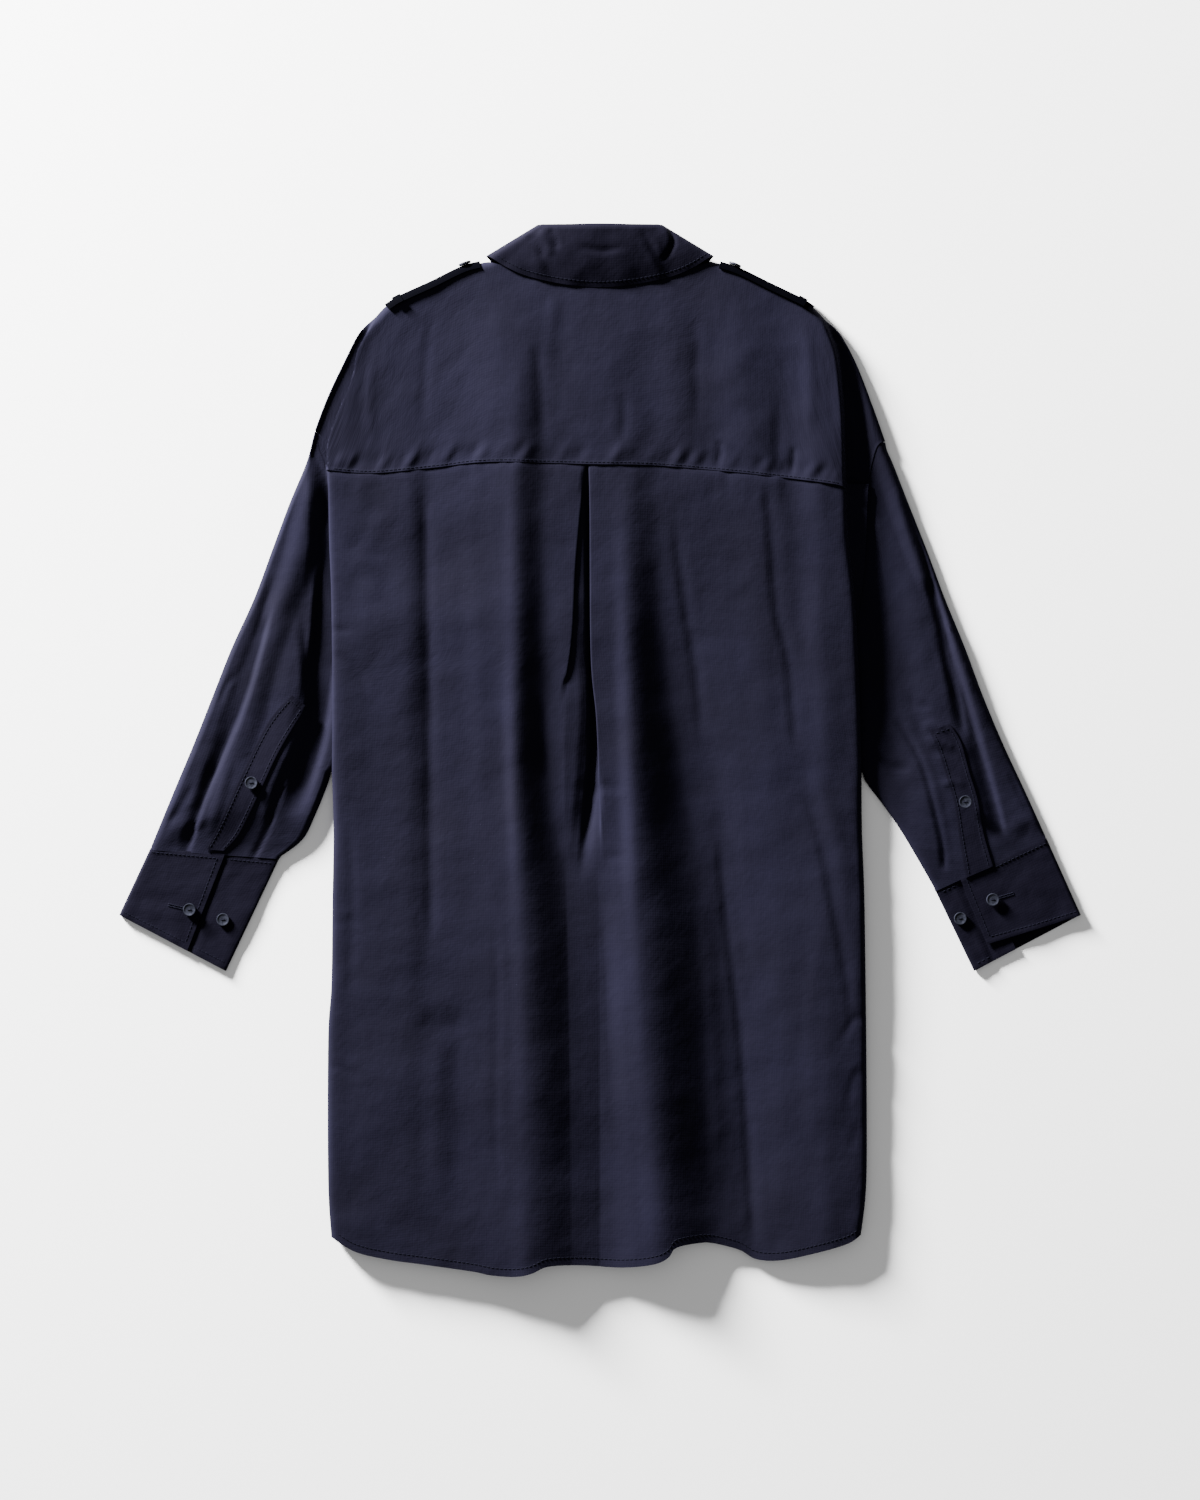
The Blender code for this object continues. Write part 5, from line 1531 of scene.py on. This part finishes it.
LEAF = tuple(Station(*row) for row in (
    ((-15, 793, 0.5), (-64, 750, 0.5)),
    ((-28, 838, 0.5), (-90, 800, 0.5)),
    ((-41, 885, 0.5), (-97, 858, 0.5)),
    ((-50, 925, 0.5), (-95, 902, 0.5)),
    ((-55, 938, 1.3), (-99, 912.6, 1.3)),
    ((-57, 943, 6.0), (-102, 916, 6.0), 0.4),
    ((-53, 944, 12.0), (-98, 914.5, 11.2), 0.8),
    ((-47, 944, 14.5), (-86, 907, 12.0), 1.0),
    ((-39, 944, 16.0), (-70, 899.5, 12.2), 1.2),
    ((-27, 944, 17.5), (-48, 893.5, 12.2), 1.4),
    ((-14, 944.3, 18.5), (-25, 889.5, 12.2), 1.6),
    ((0, 944.4, 18.8), (0, 888, 12.2), 1.8),
))
STAND = tuple(Station(*row) for row in (
    ((-14, 791, 2.0), (-17.5, 766.5, 2.0)),
    ((-27, 836, 2.0), (-45.6, 801, 2.0)),
    ((-39, 883, 2.0), (-71.5, 851, 2.0)),
    ((-47, 922, 2.0), (-92, 893, 2.0)),
    ((-51, 934, 2.6), (-97, 908, 2.5)),
    ((-53, 938.6, 6.0), (-97.5, 912.4, 6.2)),
    ((-49, 940, 9.2), (-92, 911.4, 9.2)),
    ((-42, 940.6, 9.8), (-68, 906.4, 9.8)),
    ((-23, 941, 10.1), (-35, 904, 10.0)),
    ((0, 941, 10.2), (0, 903, 10.1)),
))


@dataclass
class Collar:
    """The stand round the neck and the leaf that turns down over it."""

    finishes: Finishes
    steps: int = 7               # finer sections between two stations

    def strip(self, stations: tuple[Station, ...], shares: Array) -> Array:
        """Rows from the fold to the edge, columns from the left end to the right end.

        Args:
            stations: sections from the left end to the middle of the back.
            shares: of the way from the fold to the edge.

        Returns:
            Rows by columns of x, y, z.
        """
        whole = [*stations, *(station.mirrored() for station in stations[-2::-1])]
        table = refine(np.array([(*s.fold, *s.edge, s.rise) for s in whole], float), self.steps)
        fold, edge, rise = table[:, :3], table[:, 3:6], table[:, 6]
        share = shares[:, None, None]
        points = fold + (edge - fold) * share
        points[..., 2] += rise * (4 * shares * (1 - shares))[:, None]
        return points

    def build(self) -> tuple[Object, Object]:
        """Lays out the leaf and the stand."""
        shares = np.r_[0, 0.01, 0.03, np.linspace(0.06, 1, 22)]
        points = self.strip(LEAF, shares)
        x, y = points[..., 0], points[..., 1]
        on_back = ease((points[..., 2] - 6) / 5)
        folded = ease((0.06 - shares) / 0.06)[:, None] * on_back
        points[..., 2] += uneven(COLLAR_WAVES, x, y) * on_back * ease(shares / 0.2)[:, None]
        points[..., 2] += total(COLLAR_CREASES, x, y) * on_back * ease(shares / 0.12)[:, None]
        puckered = np.exp(-((np.abs(x) - 52) / 14) ** 2) * on_back * ease(shares / 0.25)[:, None]
        points[..., 2] += 0.9 * ripple(x + 0.6 * y, y * 0.3, 6.5, 14) * puckered
        points[..., 2] -= 1.6 * folded
        points[..., 1] += 0.5 * folded * (1 - folded)
        cloth = Cloth(self.finishes.trim, TRIM_WALL)
        leaf = cloth.weave("collar_leaf_cloth", points, ("collar_leaf",))
        stand_points = self.strip(STAND, np.linspace(0, 1, 12))
        trim = Cloth(self.finishes.trim, STAND_WALL, "trim_cloth")
        stand = trim.weave("collar_stand_cloth", stand_points, ("collar_stand",))
        return leaf, stand

    def dress(self, leaf: Object, stitch: TopStitch) -> None:
        """Topstitches the leaf's free edge on the back, 4 mm in."""
        edge = self.strip(LEAF, np.array([0.915]))[0]
        on_back = edge[edge[:, 2] > 9][:, :2]
        stitch.sew("stitching_collar", surface_of(leaf), [on_back])


# ---- the sleeves


@dataclass
class Sleeve:
    """A flattened tube, open at the armhole and at the cuff seam."""

    side: Side
    finishes: Finishes
    tops: int = 54
    rows: int = 118

    def stations(self) -> Array:
        """Where the rows meet the armhole seam, as shares of its length."""
        cut = CUT[self.side]
        yoke_share = length_of(cut.yoke_armhole) / length_of(smooth_line(cut.armhole))
        coarse = np.array([
            0.06 * yoke_share, 0.5 * yoke_share, yoke_share, 0.22, 0.31, 0.42, 0.55, 0.67, 0.8, 0.9, 1.0])
        at = np.linspace(0, len(coarse) - 1, int(self.rows * 0.68))
        return np.interp(at, np.arange(len(coarse)), coarse)

    def build(self) -> Object:
        """Lays out the sleeve as rings that start at the outer edge and come back on the surface."""
        cut = CUT[self.side]
        outer, armhole, inner = (
            smooth_line(line) for line in (cut.sleeve_outer, cut.armhole, cut.sleeve_inner))
        stations = self.stations()
        open_rows = len(stations) - 1
        closed = np.linspace(0, 1, self.rows - open_rows)
        first, armpit = 0.003, 0.74          # shares of the outer edge's length
        open_outer = first + (armpit - first) * (stations - stations[0]) / (1 - stations[0])
        outer_shares = np.r_[open_outer, armpit + (1 - armpit) * closed[1:]]
        starts = along(outer, outer_shares)
        ends = np.vstack([along(armhole, stations[:-1]), along(inner, closed)])
        width = np.sqrt(((ends - starts) ** 2).sum(-1))
        unit = (ends - starts) / width[:, None]
        margin = np.minimum(EDGE_TURN, width / 6)
        is_open = np.arange(len(ends)) < open_rows
        yoke_share = length_of(cut.yoke_armhole) / length_of(armhole)
        below_yoke = np.r_[stations[:-1], np.ones(len(closed))] > yoke_share * 1.02
        lap = np.where(below_yoke, SEAM_LAP, SEAM_LAP / 2) * is_open

        shares = np.linspace(0, 1, self.tops)[1:-1]
        step = margin[:, None] + (width - 2 * margin)[:, None] * shares
        plan = starts[:, None] + unit[:, None] * step[..., None]
        rim = np.where(is_open[:, None], step, np.minimum(step, width[:, None] - step)) - margin[:, None]
        height = self.fine_height(plan[..., 0], plan[..., 1]) - SLEEVE_LEVEL
        tops = SLEEVE_LEVEL + height * round_edge(rim, RIM_RADIUS[self.side])
        top_points = np.concatenate([plan, tops[..., None]], axis=-1)

        def edge(base: Array, way: int, offset: Array | float, level: Array | float) -> Array:
            """A column beside an edge, at an offset from it and at a level."""
            offset, level = (np.broadcast_to(value, len(base)) for value in (offset, level))
            return np.column_stack([base + way * unit * offset[:, None], level])

        turn = [(0.9, FLOOR_LAYER), (0.35, 0.75), (0.05, 1.3), (0.0, 2.0), (0.05, 2.7), (0.4, 3.25)]
        outer_columns = [edge(starts, 1, np.minimum(o, margin), z) for o, z in turn]
        lap_level = np.where(below_yoke, SLEEVE_LEVEL - 0.2, top_points[:, -1, 2] - 0.9)
        lap_column = edge(ends, 1, np.where(is_open, lap, -0.4), np.where(is_open, lap_level, 3.25))
        inner_columns = [lap_column]
        inner_columns += [edge(ends, -1, np.minimum(o, margin), z) for o, z in reversed(turn[:-1])]
        lows = [
            edge(starts, 1, margin + (width - 2 * margin) * share, FLOOR_LAYER)
            for share in np.linspace(0.95, 0.05, 14)
        ]
        points = np.stack([
            *outer_columns, *np.moveaxis(top_points, 1, 0), *inner_columns, *lows, outer_columns[0]], axis=1)
        points[-1, :, 1] -= 1.5
        gap_start = len(outer_columns) + len(shares)
        gap = (gap_start, gap_start + len(inner_columns) - 2)
        columns = points.shape[1]
        if self.side is Side.RIGHT:
            points = points[:, ::-1]
            gap = (columns - 2 - gap[1], columns - 2 - gap[0])

        def in_gap(row: Array, column: Array) -> Array:
            """The faces between the upper and lower layer beside the armhole."""
            return (row < open_rows) & (column >= gap[0]) & (column <= gap[1])

        name = f"sleeve_{self.side}"
        sleeve = Cloth(self.finishes.poplin).weave(f"{name}_cloth", points, (name,), in_gap)
        return sleeve

    def fine_height(self, x: Array, y: Array) -> Array:
        """Sleeve height with tucks, creases and slow unevenness."""
        lowest = 2.2
        height = sleeve_height(x, y, self.side) + total(SLEEVE_CREASES[self.side], x, y)
        return np.maximum(height + uneven(SLEEVE_WAVES, x, y), lowest)


@dataclass(frozen=True)
class CuffCut:
    """A cuff's corners in plan and its overlap, as in the solids."""

    outer: tuple[float, float]
    inner: tuple[float, float]
    low_outer: tuple[float, float]
    low_inner: tuple[float, float]
    lap_at_seam: float
    lap_at_hem: float
    draw_back: float
    buttons: Line
    buttonhole: tuple[float, float]      # way from the outer button to its hole


CUFFS = {
    Side.LEFT: CuffCut((-404, 384), (-289, 375.4), (-432, 324), (-337, 274), 0.58, 0.64, 0.0,
                       ((-369, 329), (-339, 320)), (-0.97, 0.22)),
    Side.RIGHT: CuffCut((401, 393), (302, 346.6), (432, 324), (337, 274), 0.78, 0.81, 0.2,
                        ((353, 338), (324, 321)), (0.96, 0.28)),
}


@dataclass
class Cuff:
    """A stiff band round the sleeve's end, its ends lapped and buttoned."""

    side: Side
    finishes: Finishes

    def place(self, across: float, down: float) -> Array:
        """A place on the cuff in plan, from shares of its width and height."""
        cut = CUFFS[self.side]
        outer, inner, low_outer, low_inner = (
            np.array(corner, float) for corner in (cut.outer, cut.inner, cut.low_outer, cut.low_inner))
        high = outer + (inner - outer) * across
        low = low_outer + (low_inner - low_outer) * across
        return high + (low - high) * down

    def build(self) -> Object:
        """Lays out the cuff, from the end on top round the outer edge to the end underneath."""
        cut = CUFFS[self.side]
        floor, turn, underlap = CUFF_FLOOR, 0.012, 0.2
        rows = []
        for down in np.linspace(0, 1, 9):
            lap = cut.lap_at_seam + (cut.lap_at_hem - cut.lap_at_seam) * down
            row = [
                (*self.place(lap * share, down * (1 - cut.draw_back * share)), CUFF_TOP_LEVEL)
                for share in (1, 0.9, 0.75, 0.6, 0.4, 0.2, 0.06)
            ]
            row += [(*self.place(turn, down), CUFF_TOP_LEVEL - 0.4)]
            row += [(*self.place(0, down), CUFF_TOP_LEVEL - 1.6), (*self.place(0, down), floor + 1.0)]
            row += [(*self.place(across, down), floor) for across in (turn, 0.25, 0.5, 0.75, 1 - turn)]
            row += [(*self.place(1, down), floor + 0.55), (*self.place(1, down), CUFF_UNDER_LEVEL - 0.55)]
            unders = ((1 - turn, 0), ((1 + lap) / 2, 0), (lap + 0.06, 0), (lap + 0.01, 0.7), (lap, 0.7),
                      (lap - underlap, 0.2))
            row += [(*self.place(across, down), CUFF_UNDER_LEVEL - sunk) for across, sunk in unders]
            rows.append(row)
        points = refine(refine(np.array(rows), 6, axis=1), 5, axis=0)
        upper = ease((points[..., 2] - 1.6) / 0.8)
        share_down = np.linspace(0, 1, points.shape[0])[:, None]
        x, y = points[..., 0], points[..., 1]
        points[..., 2] += upper * uneven(CUFF_WAVES, x, y) * ease(share_down * 4)
        edge_ridge = sum(np.exp(-((share_down - middle) / 0.03) ** 2) for middle in (0.04, 0.97))
        points[..., 2] += 0.25 * upper * edge_ridge
        if self.side is Side.LEFT:
            points = points[:, ::-1]
        name = f"cuff_{self.side}"
        cuff = Cloth(self.finishes.trim, CUFF_WALL, "trim_cloth").weave(f"{name}_cloth", points, (name,))
        return cuff

    def dress(self, cuff: Object, stitch: TopStitch) -> None:
        """Topstitches all edges of the overlap, 5 mm in, and the underlap's seam."""
        cut = CUFFS[self.side]
        surface = surface_of(cuff)

        def row(points: list[tuple[float, float]]) -> Array:
            """A line of stitches from shares of the cuff's width and height."""
            return np.array([self.place(a, d) for a, d in points])

        seam_lap, hem_lap = cut.lap_at_seam - 0.045, cut.lap_at_hem - 0.045
        low = 0.935
        rows = [
            row([(0.02, 0.05), (seam_lap, 0.05)]),
            row([(0.02, low), (hem_lap * 0.5, low - cut.draw_back * 0.45), (hem_lap, low - cut.draw_back)]),
            row([(seam_lap, 0.05), (hem_lap, low - cut.draw_back)]),
            row([(cut.lap_at_seam + 0.02, 0.05), (0.97, 0.05)]),
            row([(cut.lap_at_hem + 0.03, 0.94), (0.97, 0.94)]),
        ]
        stitch.sew(f"stitching_cuff_{self.side}", surface, rows)
        self._buttonhole(surface, stitch)

    def _buttonhole(self, surface: BVHTree, stitch: TopStitch) -> None:
        """The spare buttonhole beside the outer button, as two close rows of thread."""
        cut, length, width, from_button = CUFFS[self.side], 14, 1.8, 13
        away = np.array(cut.buttonhole)
        beside, half = np.array([-away[1], away[0]]) * width / 2, away * length / 2
        middle = np.array(cut.buttons[0]) + away * from_button
        rows = [np.array([middle - half + beside * k, middle + half + beside * k]) for k in (-1, 1)]
        close = TopStitch(stitch.finish, length=1.0, gap=0.1, thickness=1.0)
        close.sew(f"buttonhole_cuff_{self.side}", surface, rows)


PLACKETS = {
    Side.LEFT: (((-354, 383), (-341, 409), (-321, 452), (-299, 496), (-277, 522)),
                ((-338, 382), (-324, 398), (-306, 434), (-288, 472), (-264, 512))),
    Side.RIGHT: (((353.2, 368), (345, 396), (339, 429), (332, 452), (324, 480), (314, 496)),
                 ((328.7, 357.4), (322, 400), (318, 425), (311, 449), (304, 471), (296, 490))),
}


@dataclass
class SleevePlacket:
    """The bound slit over a cuff: a strip laid on the sleeve, made from its points."""

    side: Side
    finishes: Finishes

    def build(self, sleeve: Object) -> Object:
        """Lays the strip on a finished sleeve.

        Args:
            sleeve: the sleeve's cloth.

        Returns:
            The strip.
        """
        outer, inner = (smooth_line(line) for line in PLACKETS[self.side])
        surface = surface_of(sleeve)
        shares = np.linspace(1, 0, 70)
        a, b = along(outer, shares), along(inner, shares)
        across = np.linspace(0, 1, 15)
        plan = a[:, None] + (b - a)[:, None] * across[None, :, None]
        heights = np.array([[height_on(surface, *place) or 4.0 for place in row] for row in plan])
        for _ in range(3):
            padded = np.pad(heights, 1, mode="edge")
            heights = np.maximum(heights, (padded[:-2, 1:-1] + padded[2:, 1:-1] + padded[1:-1, :-2]
                                           + padded[1:-1, 2:]) / 4)
        edge = np.minimum(across, 1 - across)[None, :] * 15
        points = with_height(plan, heights + 0.75 + 0.2 * np.exp(-(edge - 1) ** 2))
        if self.side is Side.RIGHT:
            points = points[:, ::-1]
        name = f"sleeve_placket_{self.side}"
        strip = Cloth(self.finishes.trim, PLACKET_WALL, "trim_cloth").weave(f"{name}_cloth", points, (name,))
        return strip

    def dress(self, strip: Object, stitch: TopStitch) -> None:
        """Sews both edges and the end of the strip."""
        outer, inner = (smooth_line(line) for line in PLACKETS[self.side])
        shares = np.linspace(0.02, 0.97, 30)
        a, b = along(outer, shares), along(inner, shares)
        first, last = (a + (b - a) * share for share in (0.14, 0.86))
        rows = [first, last, np.array([first[-1], last[-1]])]
        stitch.sew(f"stitching_placket_{self.side}", surface_of(strip), rows)


# ---- shoulder tabs


@dataclass
class ShoulderTab:
    """The tab buttoned on the shoulder, its edge on the back and the rest under the front."""

    side: Side
    finishes: Finishes
    tab_from: float = 7.0
    tab_to: float = 100.0
    loop_from: float = 84.0
    loop_to: float = 92.0
    on_back: float = 4.6
    on_front: float = 30.0

    def frame(self, distance: float) -> tuple[Array, Array]:
        """A place on the shoulder line and the way inward from it.

        Args:
            distance: along the shoulder from its neck end.

        Returns:
            The place and a unit vector, both in plan.
        """
        line = smooth_line(CUT[self.side].shoulder)
        share, step = distance / length_of(line), 0.03
        before, here, after = along(line, np.clip([share - step, share, share + step], 0, 1))
        run = (after - before) / np.hypot(*(after - before))
        inward = np.array([run[1], -run[0]])
        return here, inward if inward[1] < 0 else -inward

    def section(self, distance: float, lift: float, keep: int) -> Array:
        """Section of the tab across the shoulder: the yoke's own points moved out by lift."""
        here, inward = self.frame(distance)
        rows = []
        for level in (1, 0.66, 0.36, 0.12):
            step = self.on_back * level
            x, y = here + inward * step
            height = float(yoke_height(np.array([x]), np.array([y]))[0])
            rows.append((step - lift * (1 - level) * 0.9, height + lift * (0.35 + 0.65 * level)))
        rows += [(-lift, SHOULDER_LEVEL + 0.6), (-lift, SHOULDER_LEVEL - 1.2)]
        rows += [(-lift * 0.75, FLOOR_LAYER + 0.45)]
        rows += [(step, FLOOR_LAYER) for step in (0.6, self.on_front / 2, self.on_front)]
        return np.array([(*(here + inward * step), height) for step, height in rows[:keep]])

    def strip(self, first: float, last: float, count: int, lift: float, keep: int) -> Array:
        """A strip folded over the shoulder."""
        sections = [self.section(distance, lift, keep) for distance in np.linspace(first, last, count)]
        points = refine(refine(np.array(sections), 4, axis=1), 5, axis=0)
        return points[:, ::-1] if self.side is Side.RIGHT else points

    def build(self) -> None:
        """Lays out the tab and its keeper loop."""
        # The tabs wear the near-black poplin, which is painted shade and not the cloth's own colour.
        cloth = Cloth(self.finishes.painted_shade_tab, TAB_WALL, "trim_cloth")
        name = f"epaulette_{self.side}"
        tab = cloth.weave(f"{name}_cloth", self.strip(self.tab_from, self.tab_to, 9, PLY, 10), (name,))
        name = f"epaulette_loop_{self.side}"
        lift = PLY + 1.3
        loop = cloth.weave(f"{name}_cloth", self.strip(self.loop_from, self.loop_to, 3, lift, 6), (name,))


# ---- buttons


@dataclass
class ShirtButtons:
    """Two-hole resin buttons, turned with a rim and a dished face, sewn on with thread."""

    finishes: Finishes
    radius: float = BUTTON_RADIUS
    height: float = 1.75
    hole_radius: float = 0.75
    hole_apart: float = 2.6

    def pattern(self) -> tuple[Object, Object]:
        """Models one button and its thread at the origin, its face up.

        Returns:
            The button and the thread.
        """
        button = cylinder(self.radius, self.height, sides=40, lift=self.height / 2)
        self._dish(button)
        for step in (-0.5, 0.5):
            self._drill(button, step * self.hole_apart)
        thread = cylinder(0.38, self.hole_apart + 1.1, sides=8, lift=self.height - 0.3, lying=True)
        round_edges(thread, 0.15, segments=2)
        return button, thread

    def _dish(self, button: Object) -> None:
        """Insets the face, sinks it and softens the edges."""
        inset_and_sink = ((0.8, 0.0), (0.5, -0.28), (1.6, -0.08))
        with face_editing(button, [face.normal.z > 0.9 for face in button.data.polygons]):
            for inset, sink in inset_and_sink:
                bpy.ops.mesh.inset(thickness=inset * MM, depth=sink * MM)
        round_edges(button, 0.28, segments=2, sharper_than=35)

    def _drill(self, button: Object, x: float) -> None:
        """Drills one thread hole at x."""
        deselect()
        bpy.ops.mesh.primitive_cylinder_add(
            vertices=14, radius=self.hole_radius * MM, depth=3 * self.height * MM, location=(x * MM, 0, 0))
        drill = bpy.context.object
        cut = button.modifiers.new("Hole", "BOOLEAN")
        cut.object = drill
        cut.operation = "DIFFERENCE"
        apply_modifiers(button)
        bpy.data.objects.remove(drill)

    def sew_on(self) -> None:
        """Copies the pattern to each button of the solids, facing as the solid does."""
        button, thread = self.pattern()
        for node in sorted(name for name in FRAME["nodes"] if name.startswith("button_")):
            low, high = (Vector(corner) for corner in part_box(node))
            centre, size = (low + high) / 2, high - low
            facing = self._facing(node, size)
            base = centre - facing * BUTTON_HEIGHT / 2 * MM
            turn = facing.to_track_quat("Z", "Y").to_matrix().to_4x4()
            for pattern, finish, slot in ((button, self.finishes.resin, "button"),
                                          (thread, self.finishes.thread, "trim_cloth")):
                mesh = pattern.data.copy()
                mesh.transform(turn)
                for vertex in mesh.vertices:
                    vertex.co += base
                mesh.materials.clear()
                mesh.materials.append(finish)
                kind = "button" if pattern is button else "thread"
                piece = new_piece(f"{node}_{kind}", mesh)
                pick_up(piece)
                bpy.ops.object.shade_smooth_by_angle(angle=math.radians(40))
                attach(piece, "root")
                if pattern is button:
                    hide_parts(node)
        for pattern in (button, thread):
            bpy.data.objects.remove(pattern)
        log.info("buttons sewn on")

    @staticmethod
    def _facing(node: str, size: Vector) -> Vector:
        """The way a button's face looks: down on the front, out from the shoulder, or up.

        Args:
            node: the button's node.
            size: the size of its box; not used.

        Returns:
            A unit vector.
        """
        if node.startswith("button_front"):
            return Vector((0, 0, -1))
        if node.startswith("button_epaulette"):
            side = Side(node.rsplit("_", 1)[1])
            inward = ShoulderTab.frame(ShoulderTab(side, None), 20.0)[1]
            return Vector((-inward[0], -inward[1], 0)).normalized()
        return Vector((0, 0, 1))


# ---- light and camera


@dataclass
class Studio:
    """A pale surface, one soft key light from the upper left, and a camera straight above."""

    camera_height: float = 4.0
    sensor: float = 36.0
    key_place: Point3 = (-2.95, 2.95, 0.8)
    key_size: float = 0.7
    key_power: float = 5000
    sky: float = 0.45

    def build(self) -> None:
        """Sets up the floor, the lights and the camera."""
        deselect()
        bpy.ops.mesh.primitive_plane_add(size=12, location=(0, 0, 0))
        floor = bpy.context.object
        floor.name = "floor"
        floor.data.materials.append(PaintedBoard().material("pale_board"))
        self._light("key", self.key_place, self.key_size, self.key_power)
        world = bpy.context.scene.world or bpy.data.worlds.new("studio")
        bpy.context.scene.world = world
        world.use_nodes = True
        backdrop = world.node_tree.nodes["Background"]
        backdrop.inputs["Color"].default_value = (1, 1, 1, 1)
        backdrop.inputs["Strength"].default_value = self.sky
        lens = bpy.data.cameras.new("camera")
        lens.lens = self.sensor * self.camera_height / PHOTO_HEIGHT
        lens.sensor_width = self.sensor
        lens.clip_end = 50
        camera = bpy.data.objects.new("camera", lens)
        camera.location = (0, (PHOTO_MIDDLE_Y - MIDDLE_Y) * MM, self.camera_height)
        bpy.context.scene.collection.objects.link(camera)
        bpy.context.scene.camera = camera

    @staticmethod
    def _light(name: str, place: Point3, size: float, power: float) -> None:
        """Adds a square soft light that looks at the garment."""
        data = bpy.data.lights.new(name, "AREA")
        data.size = size
        data.energy = power
        light = bpy.data.objects.new(name, data)
        light.location = place
        light.rotation_euler = (-Vector(place)).to_track_quat("-Z", "Y").to_euler()
        bpy.context.scene.collection.objects.link(light)


def corners(bounds: Iterable[Iterable[float]]) -> list[list[float]]:
    """A box as plain lists."""
    return [[float(value) for value in corner] for corner in bounds]


FRAME: dict = {}


def main() -> None:
    """Builds the garment's looks piece by piece, then the studio."""
    logging.basicConfig(level=logging.INFO, format="%(name)s: %(message)s")
    FRAME.update(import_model())
    finishes = Finishes.mix()
    stitch = TopStitch(finishes.thread)
    back = BackBody(finishes)
    back.dress(back.build(), stitch)
    yoke = BackYoke(finishes)
    yoke.dress(yoke.build(), stitch)
    band = ButtonBand(finishes)
    band.dress(band.build(), stitch)
    collar = Collar(finishes)
    collar.dress(collar.build()[0], stitch)
    for side in Side:
        front = Front(side, finishes)
        front.dress(front.build(), stitch)
        sleeve = Sleeve(side, finishes).build()
        cuff = Cuff(side, finishes)
        cuff.dress(cuff.build(), stitch)
        placket = SleevePlacket(side, finishes)
        placket.dress(placket.build(sleeve), stitch)
        ShoulderTab(side, finishes).build()
    ShirtButtons(finishes).sew_on()
    Studio().build()
    log.info("done")


if __name__ == "__main__":
    main()
